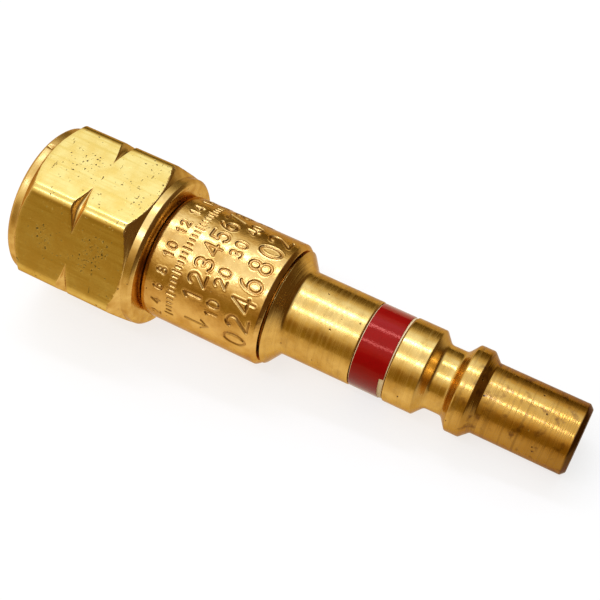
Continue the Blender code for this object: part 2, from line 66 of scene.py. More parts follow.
towards_camera = Vector((
    math.sin(VIEW_AZIMUTH) * math.cos(VIEW_ELEVATION),
    -math.cos(VIEW_AZIMUTH) * math.cos(VIEW_ELEVATION),
    math.sin(VIEW_ELEVATION),
))
camera = bpy.data.objects.new("camera", bpy.data.cameras.new("camera"))
camera.data.sensor_fit = "HORIZONTAL"
camera.data.sensor_width = FILM_WIDTH
camera.data.lens = VIEW_LENS
camera.data.clip_start = 5 * MM
camera.data.clip_end = 20.0
level = towards_camera.to_track_quat("Z", "Y").to_matrix() @ Matrix.Rotation(VIEW_ROLL, 3, "Z")
camera.matrix_world = (
    Matrix.Translation(VIEW_AIM + towards_camera * VIEW_DISTANCE) @ level.to_4x4()
)
bpy.context.collection.objects.link(camera)
bpy.context.scene.camera = camera
bpy.context.scene.view_settings.view_transform = "Standard"


def colour(code):
    """Give the linear value of an sRGB hex colour."""
    parts = [int(code[i:i + 2], 16) / 255 for i in (1, 3, 5)]
    linear = [p / 12.92 if p <= 0.04045 else ((p + 0.055) / 1.055) ** 2.4 for p in parts]
    return (*linear, 1.0)


def add_node(tree, kind, sockets=(), **settings):
    """Add a node; sockets gives each input its value or the output that feeds it."""
    node = tree.nodes.new("ShaderNode" + kind)
    for name, value in settings.items():
        setattr(node, name, value)
    for name, value in dict(sockets).items():
        if isinstance(value, bpy.types.NodeSocket):
            tree.links.new(value, node.inputs[name])
        else:
            node.inputs[name].default_value = value
    return node


# The ceiling's colours stand at half of their light, in degrees from the camera's side over the
# top to the far side. The wall beyond the plug's tip is dark brown and the one beyond the nut
# tan; each blends in between two shares of the direction along X. The camera sees white.
CEILING_STRENGTH = 2.0
CEILING = (
    (0, "#705d25"), (14, "#6b5924"), (28, "#745e30"), (40, "#a89b78"), (50, "#c2c2bf"),
    (62, "#c6d1e6"), (98, "#c6d1e6"), (112, "#cbdcfa"), (130, "#cbdcfa"), (143, "#aca58c"),
    (157, "#5c4f2a"), (180, "#3a2f16"),
)
TIP_WALL = (0.12, 0.65, "#46331c")
NUT_WALL = (-0.45, -0.85, "#b5b0a4")
world = bpy.data.worlds.new("studio ceiling")
world.use_nodes = True
bpy.context.scene.world = world
tree = world.node_tree
tree.nodes.clear()
direction = add_node(tree, "SeparateXYZ", {0: add_node(tree, "TexCoord").outputs["Generated"]})
towards_front = add_node(tree, "Math", {0: direction.outputs["Y"], 1: -1.0}, operation="MULTIPLY")
over = add_node(
    tree, "Math", {0: direction.outputs["Z"], 1: towards_front.outputs[0]}, operation="ARCTAN2"
)
share = add_node(tree, "MapRange", {"Value": over.outputs[0], "From Max": math.pi})
ceiling = add_node(tree, "ValToRGB", {"Fac": share.outputs[0]})
ceiling.color_ramp.interpolation = "EASE"
stops = ceiling.color_ramp.elements
while len(stops) < len(CEILING):
    stops.new(0.5)
for stop, (degrees, code) in zip(stops, CEILING):
    stop.position = degrees / 180
    stop.color = colour(code)
room = ceiling.outputs[0]
for starts, full, code in (TIP_WALL, NUT_WALL):
    share = add_node(
        tree, "MapRange", {"Value": direction.outputs["X"], "From Min": starts, "From Max": full},
        interpolation_type="SMOOTHSTEP",
    )
    room = add_node(
        tree, "Mix", {"Factor": share.outputs[0], 6: room, 7: colour(code)}, data_type="RGBA"
    ).outputs[2]
light = add_node(tree, "Background", {"Color": room, "Strength": CEILING_STRENGTH})
white = add_node(tree, "Background", {"Color": colour("#ffffff"), "Strength": 1.0})
path = add_node(tree, "LightPath")
seen = add_node(
    tree, "MixShader",
    {0: path.outputs["Is Camera Ray"], 1: light.outputs[0], 2: white.outputs[0]},
)
add_node(tree, "OutputWorld", {"Surface": seen.outputs[0]})

# Two long soft lamps hang along the coupling, one before and one behind its highest line, both
# a little towards the nut. They are cooler than the ceiling, so they gleam cream on brass. Each
# stands with its angle over the coupling, from the camera's side, and its brightness.
LAMP_DISTANCE = 400 * MM
LAMP_LENGTH = 240 * MM
LAMP_WIDTH = 50 * MM
LAMP_COLOUR = (0.82, 0.94, 1.42)
LAMP_TOWARDS_NUT = 0.25
LAMP_OVER = 0.968
LAMPS = (("front strip lamp", 65.0, 7.8), ("rear strip lamp", 108.0, 8.8))
for name, over_angle, brightness in LAMPS:
    lamp = bpy.data.objects.new(name, bpy.data.lights.new(name, "AREA"))
    lamp.data.color = LAMP_COLOUR
    lamp.data.shape = "RECTANGLE"
    lamp.data.size = LAMP_LENGTH
    lamp.data.size_y = LAMP_WIDTH
    lamp.data.energy = brightness * math.pi * LAMP_LENGTH * LAMP_WIDTH
    angle = math.radians(over_angle)
    way = Vector((-LAMP_TOWARDS_NUT, -math.cos(angle) * LAMP_OVER, math.sin(angle) * LAMP_OVER))
    lamp.location = way * LAMP_DISTANCE
    across = Vector((1, 0, 0)).cross(way).normalized()
    along = across.cross(way).normalized() * -1
    lamp.rotation_euler = Matrix((along, across, way)).transposed().to_euler()
    bpy.context.collection.objects.link(lamp)

# The table is matt paper. It is white to the camera and keeps the coupling's soft shadow. In
# the metal it shows a painted reflection instead of itself: pale beside the coupling and warmer
# farther away, and from the plug's land on painted darker towards the wall beyond the plug's tip.
PAPER_GLOW = 0.74
PAPER_MATT = "#959085"
PAINTED_REFLECTION_NEAR = (14 * MM, "#fdf1dc")
PAINTED_REFLECTION_FAR = (50 * MM, "#e0cda4")
PAINTED_DARK_BY_TIP = (14 * MM, 58 * MM, "#5a482a")
TIP_FOOT = (31.4 * MM, -3.92 * MM)
NUT_FOOT = (-17.45 * MM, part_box("union_nut")[0][2])
TABLE_RADIUS = 1.6
TABLE_SIDES = 96
TABLE_GAP = 0.02 * MM
slope = math.atan2(TIP_FOOT[1] - NUT_FOOT[1], TIP_FOOT[0] - NUT_FOOT[0])
disc = bmesh.new()
bmesh.ops.create_circle(disc, cap_ends=True, segments=TABLE_SIDES, radius=TABLE_RADIUS)
table = bpy.data.objects.new("table", bpy.data.meshes.new("table"))
disc.to_mesh(table.data)
disc.free()
table.matrix_world = (
    Matrix.Translation((NUT_FOOT[0], 0, NUT_FOOT[1] - TABLE_GAP)) @ Matrix.Rotation(-slope, 4, "Y")
)
bpy.context.collection.objects.link(table)
paper = bpy.data.materials.new("matt white paper")
paper.use_nodes = True
tree = paper.node_tree
tree.nodes.clear()
path = add_node(tree, "LightPath")
seen = add_node(
    tree, "Math",
    {0: path.outputs["Is Camera Ray"], 1: path.outputs["Is Transmission Ray"]}, operation="MAXIMUM",
)
glow = add_node(tree, "Math", {0: seen.outputs[0], 1: PAPER_GLOW}, operation="MULTIPLY")
on_paper = add_node(tree, "SeparateXYZ", {0: add_node(tree, "NewGeometry").outputs["Position"]})
beside = add_node(tree, "Math", {0: on_paper.outputs["Y"]}, operation="ABSOLUTE")
distant = add_node(tree, "MapRange", {
    "Value": beside.outputs[0], "From Min": PAINTED_REFLECTION_NEAR[0], "From Max": PAINTED_REFLECTION_FAR[0],
})
painted_gleam = add_node(tree, "Mix", {
    "Factor": distant.outputs[0], 6: colour(PAINTED_REFLECTION_NEAR[1]), 7: colour(PAINTED_REFLECTION_FAR[1]),
}, data_type="RGBA")
by_tip = add_node(tree, "MapRange", {
    "Value": on_paper.outputs["X"], "From Min": PAINTED_DARK_BY_TIP[0], "From Max": PAINTED_DARK_BY_TIP[1],
})
painted_gleam = add_node(tree, "Mix", {
    "Factor": by_tip.outputs[0], 6: painted_gleam.outputs[2], 7: colour(PAINTED_DARK_BY_TIP[2]),
}, data_type="RGBA")
matt = add_node(tree, "BsdfDiffuse", {"Color": colour(PAPER_MATT)})
shine = add_node(tree, "Emission", {"Color": colour("#ffffff"), "Strength": glow.outputs[0]})
both = add_node(tree, "AddShader", {0: matt.outputs[0], 1: shine.outputs[0]})
# Glossy rays see this painted reflection, not the lit paper.
painted_reflection = add_node(tree, "Emission", {"Color": painted_gleam.outputs[2], "Strength": 1.0})
both = add_node(
    tree, "MixShader",
    {0: path.outputs["Is Glossy Ray"], 1: both.outputs[0], 2: painted_reflection.outputs[0]},
)
add_node(tree, "OutputMaterial", {"Surface": both.outputs[0]})
table.data.materials.append(paper)


# Union nut: free-cutting brass, cut from drawn hexagon bar. The lathe turned its two collars
# and cones, a ring of notches in the corners that marks a left-hand thread, and the thread
# itself. The flats keep the skin of the bar.
NUT_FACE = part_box("union_nut")[0][0]
NUT_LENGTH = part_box("union_nut")[1][0] - NUT_FACE
HALF_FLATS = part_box("union_nut")[1][2]
HEX_CORNER_ROUND = 1.5 * MM
COLLAR_RADIUS = HALF_FLATS - 0.11 * MM
COLLAR_LENGTH = 1.15 * MM
COLLAR_BREAK = 0.35 * MM
FRONT_CONE = 1.3 * MM
REAR_CONE = 1.1 * MM
NOTCH_HALF = 0.925 * MM
NOTCH_DEPTH = 1.16 * MM
NOTCH_ROOT = 0.8 * MM
THREAD_CREST = 6.45 * MM
THREAD_PITCH = 25.4 / 18 * MM
THREAD_HEIGHT = 0.541 * THREAD_PITCH
THREAD_END = 11.8 * MM
RELIEF_RADIUS = 7.2 * MM
RELIEF_WIDTH = 1.4 * MM
MOUTH_CHAMFER = 0.85 * MM
NECK_HOLE_RADIUS = 5.1 * MM
EDGE = 0.09 * MM
FLAT_COLUMNS = 56
CORNER_COLUMNS = 14
CORNER_REACH = math.radians(30) - math.atan(
    (HALF_FLATS - HEX_CORNER_ROUND) * math.tan(math.radians(30)) / HALF_FLATS
)
BURR = 0.2 * MM
FRONT_BURR = 0.2 * BURR
BURR_FOOT = 0.12
NICK_STATION = 0.75 * MM
NICK_ANGLE = math.radians(86)
NICK_DEPTH = 0.3 * MM
NICK_LENGTH = 0.32 * MM
NICK_SPAN = math.radians(1.2)


def section_rows(corners, columns, closed=True):
    """Give the rows of a turned section and the run that each row opens.

    A corner is (station, radius, edge break, steps of the run after it). Station and radius
    may change round the axis. An edge break takes at most 0.45 of the runs beside it.
    """
    line = np.array([[np.broadcast_to(v, columns) for v in c[:2]] for c in corners], float)
    count = len(corners)
    starts, ends = [], []
    for k in range(count):
        reached = []
        for other in (k - 1, (k + 1) % count):
            way = line[other] - line[k]
            length = np.maximum(np.hypot(way[0], way[1]), 1e-9)
            outer = not closed and ((k == 0) or (k == count - 1))
            cut = 0.0 if outer else corners[k][2]
            reached.append(line[k] + way / length * np.minimum(cut, 0.45 * length))
        starts.append(reached[0])
        ends.append(reached[1])
    rows, runs = [], []
    for k in range(count):
        outer = not closed and ((k == 0) or (k == count - 1))
        rounded = corners[k][2] > 0 and not outer
        for t in ((0, 1 / 3, 2 / 3, 1) if rounded else (0,)):
            rows.append((1 - t) ** 2 * starts[k] + 2 * t * (1 - t) * line[k] + t * t * ends[k])
            runs.append(k)
        if closed or k < count - 1:
            following = starts[(k + 1) % count]
            for step in range(1, corners[k][3]):
                rows.append(ends[k] + (following - ends[k]) * step / corners[k][3])
                runs.append(k)
    rows = np.array(rows)
    return rows[:, 0], rows[:, 1], np.array(runs)


def round_points(stations, radii, angles):
    """Give points in metres from stations, radii and angles, which turn from +Y to +Z."""
    shape = np.broadcast(stations, radii, angles).shape
    points = np.empty(shape + (3,))
    points[..., 0] = stations
    points[..., 1] = radii * np.cos(angles)
    points[..., 2] = radii * np.sin(angles)
    return points


def faces_between(index):
    """Give the four corners of each face of a grid of point numbers."""
    corners = (index[:-1, :-1], index[:-1, 1:], index[1:, 1:], index[1:, :-1])
    return np.stack(corners, axis=-1).reshape(-1, 4)


def grid_faces(rows, columns, closed):
    """Give the faces of a grid that closes round its columns, and over its rows if closed."""
    index = np.arange(rows * columns).reshape(rows, columns)
    if closed:
        index = np.vstack((index, index[:1]))
    return faces_between(np.hstack((index, index[:, :1])))


def make_piece(name, points, faces, materials, face_materials=None):
    """Make a closed mesh of these points and faces, smooth, its faces pointing out."""
    mesh = bpy.data.meshes.new(name)
    mesh.from_pydata(points.reshape(-1, 3), [], faces.tolist())
    for material in materials:
        mesh.materials.append(material)
    if face_materials is not None:
        mesh.polygons.foreach_set("material_index", face_materials.astype(np.int32))
    solid = bmesh.new()
    solid.from_mesh(mesh)
    bmesh.ops.remove_doubles(solid, verts=solid.verts, dist=0.0002 * MM)
    bmesh.ops.recalc_face_normals(solid, faces=solid.faces)
    for face in solid.faces:
        face.smooth = True
    solid.to_mesh(mesh)
    solid.free()
    piece = bpy.data.objects.new(name, mesh)
    bpy.context.collection.objects.link(piece)
    weights = piece.modifiers.new("face weights", "WEIGHTED_NORMAL")
    weights.keep_sharp = True
    return piece


def hexagon_radius(angles):
    """Give the radius of the drawn bar: flats up and down, corners at +Y, rounded."""
    from_flat = (np.degrees(angles) % 60.0) - 30.0
    flat = HALF_FLATS / np.cos(np.radians(from_flat))
    from_corner = np.radians(30.0 - np.abs(from_flat))
    centre = (HALF_FLATS - HEX_CORNER_ROUND) / math.cos(math.radians(30))
    inside = np.maximum(HEX_CORNER_ROUND ** 2 - (centre * np.sin(from_corner)) ** 2, 0.0)
    corner = centre * np.cos(from_corner) + np.sqrt(inside)
    tangent = (HALF_FLATS - HEX_CORNER_ROUND) * math.tan(math.radians(30))
    return np.where(HALF_FLATS * np.tan(np.radians(np.abs(from_flat))) < tangent, flat, corner)


def thread_radius(turns):
    """Give the radius of a 60 degree thread inside the nut, crest at whole turns.

    Its crest is a quarter of the pitch wide and its root an eighth.
    """
    root = THREAD_CREST + THREAD_HEIGHT
    return np.interp(
        turns % 1.0, [0, 0.125, 0.4375, 0.5625, 0.875, 1],
        [THREAD_CREST, THREAD_CREST, root, root, THREAD_CREST, THREAD_CREST],
    )


def uneven(count, seed, softness):
    """Give a closed ring of random heights from -1 to 1, smoothed as often as softness says."""
    ring = np.random.default_rng(seed).uniform(-1, 1, count)
    for _ in range(softness):
        ring = (np.roll(ring, 1) + 2 * ring + np.roll(ring, -1)) / 4
    return ring / np.abs(ring).max()


round_share = np.linspace(-CORNER_REACH, CORNER_REACH, CORNER_COLUMNS, endpoint=False)
flat_share = np.linspace(
    CORNER_REACH, math.radians(60) - CORNER_REACH, FLAT_COLUMNS, endpoint=False
)
nut_angles = np.concatenate([
    math.radians(60 * side) + np.concatenate((round_share, flat_share)) for side in range(6)
])
columns = len(nut_angles)
bar = hexagon_radius(nut_angles)
bar_corner = HALF_FLATS / math.cos(math.radians(30))
lift = (bar - COLLAR_RADIUS) / (bar_corner - COLLAR_RADIUS)
notch_floor = bar_corner - NOTCH_DEPTH
notch_half = np.maximum(NOTCH_HALF * (bar - notch_floor) / NOTCH_DEPTH, 0.05 * MM)
notch_middle = NUT_FACE + NUT_LENGTH / 2
nut_rear = NUT_FACE + NUT_LENGTH
front_edge = NUT_FACE + COLLAR_LENGTH + FRONT_CONE * lift + FRONT_BURR * uneven(columns, 3, 2)
rear_line = nut_rear - COLLAR_LENGTH - REAR_CONE * lift
rear_edge = rear_line - BURR * (0.5 + 0.5 * uneven(columns, 5, 0))
burr_foot = (rear_line + BURR_FOOT * REAR_CONE * lift, bar - BURR_FOOT * (bar - COLLAR_RADIUS))
nut_corners = [
    (NUT_FACE, THREAD_CREST + MOUTH_CHAMFER, 0, 3),
    (NUT_FACE, COLLAR_RADIUS - COLLAR_BREAK, EDGE, 1),
    (NUT_FACE + COLLAR_BREAK, COLLAR_RADIUS, EDGE, 2),
    (NUT_FACE + COLLAR_LENGTH, COLLAR_RADIUS, 0.04 * MM, 3),
    (front_edge, bar, 0.05 * MM, 14),
    (notch_middle - notch_half, bar, 0.05 * MM, 3),
    (notch_middle, np.minimum(bar, notch_floor), NOTCH_ROOT, 3),
    (notch_middle + notch_half, bar, 0.05 * MM, 14),
    (rear_edge, bar, 0.02 * MM, 1),
    (*burr_foot, 0, 3),
    (nut_rear - COLLAR_LENGTH, COLLAR_RADIUS, 0.04 * MM, 2),
    (nut_rear - COLLAR_BREAK, COLLAR_RADIUS, EDGE, 1),
    (nut_rear, COLLAR_RADIUS - COLLAR_BREAK, EDGE, 4),
    (nut_rear, NECK_HOLE_RADIUS, EDGE, 3),
    (NUT_FACE + THREAD_END + RELIEF_WIDTH, NECK_HOLE_RADIUS, EDGE, 3),
    (NUT_FACE + THREAD_END + RELIEF_WIDTH, RELIEF_RADIUS, EDGE, 3),
    (NUT_FACE + THREAD_END, RELIEF_RADIUS, 0, 1),
]
stations, radii, runs = section_rows(nut_corners, columns, closed=False)
# A run has the number of the corner that opens it: 4 to 8 lie on the bar, 1 to 3 on the collar.
on_bar = (np.abs(radii - bar) < 0.01 * MM) & (runs >= 4)[:, None] & (runs <= 8)[:, None]
on_bar = on_bar[:-1] & on_bar[1:]
bar_skin = (on_bar & np.roll(on_bar, -1, axis=1)).reshape(-1).astype(int)
nick = np.exp(
    -((stations - NUT_FACE - NICK_STATION) / NICK_LENGTH) ** 2
    - ((nut_angles - NICK_ANGLE) / NICK_SPAN) ** 2
)
radii = radii - NICK_DEPTH * nick * ((runs >= 1) & (runs <= 3))[:, None]
outside = round_points(stations, radii, nut_angles)
outside_faces = grid_faces(len(stations), columns, closed=False)

# The thread's rows follow its helix, so each crest stays sharp. A left-hand thread falls back
# as the angle grows.
ROWS_PER_TURN = 16
step = THREAD_PITCH / ROWS_PER_TURN
thread_rows = math.ceil(THREAD_END / step) + ROWS_PER_TURN + 1
turned_by = nut_angles - nut_angles[0]
along = np.arange(thread_rows)[:, None] * step - THREAD_PITCH * turned_by / math.tau
along = np.clip(along, 0.0, THREAD_END)
along = np.where(along < 0.01 * MM, 0.0, along)
crests = np.minimum(
    thread_radius((along + THREAD_PITCH * turned_by / math.tau) / THREAD_PITCH),
    RELIEF_RADIUS - 0.01 * MM,
)
crests = np.maximum(crests, THREAD_CREST + MOUTH_CHAMFER - along)
thread = round_points(NUT_FACE + along, crests, nut_angles)
index = np.arange(thread_rows * columns).reshape(thread_rows, columns) + len(stations) * columns
last, first = index[ROWS_PER_TURN:, -1], index[:-ROWS_PER_TURN, 0]
seam_faces = np.stack((last[:-1], first[:-1], first[1:], last[1:]), axis=-1)
ring_end = index[-1]
relief_ring = np.arange(columns) + (len(stations) - 1) * columns
end_faces = np.stack(
    (relief_ring, np.roll(relief_ring, -1), np.roll(ring_end, -1), ring_end), axis=-1
)
nut_faces = np.vstack((outside_faces, faces_between(index), seam_faces, end_faces))
nut_materials = np.zeros(len(nut_faces), int)
nut_materials[:len(bar_skin)] = bar_skin

FILM_ROUGHNESS = 0.14


def start_material(name, base, metallic, roughness, edge="#ffffff", film=0.0):
    """Give a material's node tree and shader, and the place on the piece in millimetres.

    The edge is a metal's tint at grazing light, and a film the oil that handled brass keeps.
    """
    material = bpy.data.materials.new(name)
    material.use_nodes = True
    tree = material.node_tree
    shader = tree.nodes["Principled BSDF"]
    shader.inputs["Base Color"].default_value = colour(base)
    shader.inputs["Metallic"].default_value = metallic
    shader.inputs["Roughness"].default_value = roughness
    shader.inputs["Specular Tint"].default_value = colour(edge)
    shader.inputs["Coat Weight"].default_value = film
    shader.inputs["Coat Roughness"].default_value = FILM_ROUGHNESS
    where = add_node(tree, "TexCoord").outputs["Object"]
    place = add_node(tree, "VectorMath", {0: where, "Scale": 1 / MM}, operation="SCALE")
    return material, tree, shader, place.outputs[0]


def specks(tree, place, spacing, size, share):
    """Give small spots, 1 at their middle: their spacing, their mean size and the share filled.

    They run from a third of that size to half as much again.
    """
    cells = add_node(tree, "TexVoronoi", {"Vector": place, "Scale": 1 / spacing})
    pick = add_node(tree, "SeparateXYZ", {0: cells.outputs["Color"]})
    reach = add_node(
        tree, "MapRange", {"Value": pick.outputs[1], "To Min": 0.35, "To Max": 1.5}
    )
    sized = add_node(
        tree, "Math", {0: cells.outputs["Distance"], 1: reach.outputs[0]}, operation="DIVIDE"
    )
    spot = add_node(tree, "MapRange", {
        "Value": sized.outputs[0], "From Min": size / spacing, "From Max": size / spacing / 3,
    })
    filled = add_node(tree, "Math", {0: pick.outputs[0], 1: share}, operation="LESS_THAN")
    return add_node(
        tree, "Math", {0: spot.outputs[0], 1: filled.outputs[0]}, operation="MULTIPLY"
    ).outputs[0]


def stained(tree, base, *stains):
    """Lay stains over a base colour, each a share from 0 to 1 and a hex colour."""
    skin = colour(base)
    for share, code in stains:
        skin = add_node(
            tree, "Mix", {"Factor": share, 6: skin, 7: colour(code)}, data_type="RGBA"
        ).outputs[2]
    return skin


def sum_of(tree, *heights):
    """Add up heights, each an output and how much of it counts."""
    total = 0.0
    for output, weight in heights:
        total = add_node(
            tree, "Math", {0: output, 1: weight, 2: total}, operation="MULTIPLY_ADD"
        ).outputs[0]
    return total


# Drawn brass bar: the die leaves fine lines along the flats, and handling leaves pits and short
# scratches, crowded where it was knocked. It is pale, bright and mottled, and worn brass under a
# film of oil turns browner towards its outline.
BRASS_EDGE = "#c3a47a"
BRASS_FILM = 0.3
DIE_LINES_PER_MM = (0.1, 2.4, 2.4)
KNOCKS_MM = ((-27.5, -7.6, 4.4), (-20.9, -6.9, 5.6), (-21.5, -7.8, 4.0), (-26.0, 0.4, 9.9))
KNOCK_REACH_MM = 1.9
KNOCK_CORE_MM = 0.9
KNOCK_STRETCH = (1.0, 0.7, 0.7)
MARK_WANDER_MM = (0.35, 0.35, 0.35)
# Each has its counts per millimetre along X, Y and Z, fewest on its long side, and its share.
SCRATCHES = (
    ((0.35, 1.6, 1.6), 0.55), ((2.2, 0.4, 0.4), 0.35), ((1.3, 1.0, 1.0), 0.3),
    ((2.2, 0.15, 0.15), 0.1),
)
drawn_brass, tree, shader, place = start_material(
    "drawn brass bar", "#e2be62", 1.0, 0.22, BRASS_EDGE, BRASS_FILM
)
along_bar = add_node(tree, "VectorMath", {0: place, 1: DIE_LINES_PER_MM}, operation="MULTIPLY")
die_lines = add_node(
    tree, "TexNoise", {"Vector": along_bar.outputs[0], "Scale": 1.0, "Detail": 3.0}
).outputs[0]
clouds = add_node(tree, "TexNoise", {"Vector": place, "Scale": 0.6, "Detail": 6.0}).outputs[0]
patches = add_node(tree, "TexNoise", {"Vector": place, "Scale": 0.45, "Detail": 3.0}).outputs[0]
crowded = add_node(tree, "MapRange", {
    "Value": patches, "From Min": 0.46, "From Max": 0.62, "To Min": 0.06, "To Max": 1.0,
}).outputs[0]
knocked = 0.0
for knock in KNOCKS_MM:
    apart = add_node(tree, "VectorMath", {0: place, 1: knock}, operation="DISTANCE")
    near = add_node(tree, "MapRange", {
        "Value": apart.outputs["Value"], "From Min": KNOCK_REACH_MM, "From Max": KNOCK_CORE_MM,
    })
    knocked = add_node(
        tree, "Math", {0: knocked, 1: near.outputs[0]}, operation="MAXIMUM"
    ).outputs[0]
wander = add_node(tree, "TexNoise", {"Vector": place, "Scale": 5.0, "Detail": 2.0}).outputs["Color"]
ragged = add_node(
    tree, "VectorMath", {0: wander, 1: MARK_WANDER_MM, 2: place}, operation="MULTIPLY_ADD"
).outputs[0]
marks = specks(tree, ragged, 0.42, 0.085, crowded)
drawn_out = add_node(tree, "VectorMath", {0: ragged, 1: KNOCK_STRETCH}, operation="MULTIPLY")
dense = specks(tree, drawn_out.outputs[0], 0.26, 0.1, knocked)
marks = add_node(tree, "Math", {0: marks, 1: dense}, operation="MAXIMUM").outputs[0]
for stretch, share in SCRATCHES:
    drawn_out = add_node(tree, "VectorMath", {0: ragged, 1: stretch}, operation="MULTIPLY")
    scratch = specks(tree, drawn_out.outputs[0], 1.0, 0.095, share)
    marks = add_node(tree, "Math", {0: marks, 1: scratch}, operation="MAXIMUM").outputs[0]
cloud_share = add_node(
    tree, "MapRange", {"Value": clouds, "From Min": 0.38, "From Max": 0.65}
).outputs[0]
line_share = add_node(
    tree, "MapRange", {"Value": die_lines, "From Min": 0.5, "From Max": 0.75}
).outputs[0]
skin = stained(
    tree, "#e8c56b", (cloud_share, "#dbb253"), (line_share, "#d8af4d"), (marks, "#3f2a06")
)
tree.links.new(skin, shader.inputs["Base Color"])
rough = add_node(tree, "MapRange", {"Value": clouds, "To Min": 0.15, "To Max": 0.3})
tree.links.new(rough.outputs[0], shader.inputs["Roughness"])
height = sum_of(tree, (die_lines, 0.0018), (clouds, 0.012), (marks, -0.03))
bump = add_node(tree, "Bump", {"Height": height, "Distance": MM})
tree.links.new(bump.outputs[0], shader.inputs["Normal"])


def turning_lines(tree, place, pitch):
    """Give lines that run round the axis, as a lathe tool leaves them, at a pitch in mm."""
    parts = add_node(tree, "SeparateXYZ", {0: place})
    flat = add_node(tree, "CombineXYZ", {"Y": parts.outputs["Y"], "Z": parts.outputs["Z"]})
    radius = add_node(tree, "VectorMath", {0: flat.outputs[0]}, operation="LENGTH")
    around = add_node(
        tree, "Math", {0: parts.outputs["Y"], 1: parts.outputs["Z"]}, operation="ARCTAN2"
    )
    slow = add_node(tree, "Math", {0: around.outputs[0], 1: 0.25 * pitch}, operation="MULTIPLY")
    lines = add_node(tree, "CombineXYZ", {
        "X": parts.outputs["X"], "Y": radius.outputs["Value"], "Z": slow.outputs[0],
    })
    return add_node(
        tree, "TexNoise", {"Vector": lines.outputs[0], "Scale": 1 / pitch, "Detail": 3.0}
    ).outputs[0]


# Turned brass: the tool leaves fine rings, drawn as coarse as they need to show, so that light
# smears across them. Handling darkens it in soft stains.
NUT_RINGS_MM = 0.16
turned_brass, tree, shader, place = start_material(
    "turned brass nut ends", "#e5bc6c", 1.0, 0.26, BRASS_EDGE, BRASS_FILM
)
rings = turning_lines(tree, place, NUT_RINGS_MM)
stains = add_node(tree, "TexNoise", {"Vector": place, "Scale": 0.8, "Detail": 5.0}).outputs[0]
stain_share = add_node(
    tree, "MapRange", {"Value": stains, "From Min": 0.4, "From Max": 0.72}
).outputs[0]
dots = specks(tree, place, 0.7, 0.08, 0.5)
skin = stained(tree, "#e8bf6e", (stain_share, "#cc9b48"), (dots, "#6b4316"))
tree.links.new(skin, shader.inputs["Base Color"])
rough = add_node(tree, "MapRange", {"Value": stains, "To Min": 0.2, "To Max": 0.36})
tree.links.new(rough.outputs[0], shader.inputs["Roughness"])
height = sum_of(tree, (rings, 0.008), (dots, -0.04))
bump = add_node(tree, "Bump", {"Height": height, "Distance": MM})
tree.links.new(bump.outputs[0], shader.inputs["Normal"])

nut = make_piece(
    "hexagon_nut", np.vstack((outside.reshape(-1, 3), thread.reshape(-1, 3))), nut_faces,
    [turned_brass, drawn_brass], nut_materials,
)
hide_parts("union_nut")
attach(nut, "nut")


# Nose gland: turned brass. Its round nose seals on the outlet, its collar is what the nut
# pulls on, and its tail is screwed into the body. It shows through the nut's mouth.
GLAND_NOSE_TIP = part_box("nose_gland")[0][0]
GLAND_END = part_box("nose_gland")[1][0]
GLAND_COLLAR_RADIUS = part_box("nose_gland")[1][2]
GLAND_NOSE_RADIUS = 5.0 * MM
GLAND_NOSE_FLAT = 2.6 * MM
GLAND_BORE_RADIUS = 1.9 * MM
GLAND_COLLAR_FRONT = GLAND_NOSE_TIP + 3.7 * MM
GLAND_COLLAR_REAR = GLAND_COLLAR_FRONT + 2.8 * MM
GLAND_NECK_RADIUS = 4.8 * MM
GLAND_GROOVE = GLAND_END - 4.7 * MM
GLAND_GROOVE_WIDTH = 1.4 * MM
GLAND_GROOVE_FLOOR = 3.7 * MM
GROOVE_EDGE = 0.08 * MM
NOSE_STEPS = 20
ROUND_COLUMNS = 160

round_angles = np.linspace(0, math.tau, ROUND_COLUMNS, endpoint=False)
reach = math.sqrt(GLAND_NOSE_RADIUS ** 2 - GLAND_NOSE_FLAT ** 2)
nose_centre = GLAND_NOSE_TIP + reach
first_bow = math.pi - math.asin(GLAND_NOSE_FLAT / GLAND_NOSE_RADIUS)
last_bow = math.pi / 2 + math.asin((nose_centre - GLAND_COLLAR_FRONT) / GLAND_NOSE_RADIUS)
bow = [
    (nose_centre + GLAND_NOSE_RADIUS * math.cos(a), GLAND_NOSE_RADIUS * math.sin(a), 0, 1)
    for a in np.linspace(first_bow, last_bow, NOSE_STEPS)
]
gland_corners = [
    (GLAND_NOSE_TIP, GLAND_BORE_RADIUS, 0.12 * MM, 3), *bow,
    (GLAND_COLLAR_FRONT, GLAND_COLLAR_RADIUS, 0.2 * MM, 6),
    (GLAND_COLLAR_REAR, GLAND_COLLAR_RADIUS, 0.15 * MM, 3),
    (GLAND_COLLAR_REAR, GLAND_NECK_RADIUS, 0.1 * MM, 8),
    (GLAND_GROOVE, GLAND_NECK_RADIUS, GROOVE_EDGE, 2),
    (GLAND_GROOVE, GLAND_GROOVE_FLOOR, GROOVE_EDGE, 2),
    (GLAND_GROOVE + GLAND_GROOVE_WIDTH, GLAND_GROOVE_FLOOR, GROOVE_EDGE, 2),
    (GLAND_GROOVE + GLAND_GROOVE_WIDTH, GLAND_NECK_RADIUS, GROOVE_EDGE, 4),
    (GLAND_END, GLAND_NECK_RADIUS, 0.15 * MM, 3),
    (GLAND_END, GLAND_BORE_RADIUS, 0.1 * MM, 12),
]
stations, radii, runs = section_rows(gland_corners, ROUND_COLUMNS)
gland = make_piece(
    "nose_gland_turned", round_points(stations, radii, round_angles),
    grid_faces(len(stations), ROUND_COLUMNS, closed=True), [turned_brass],
)
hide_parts("nose_gland")
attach(gland, "coupling")


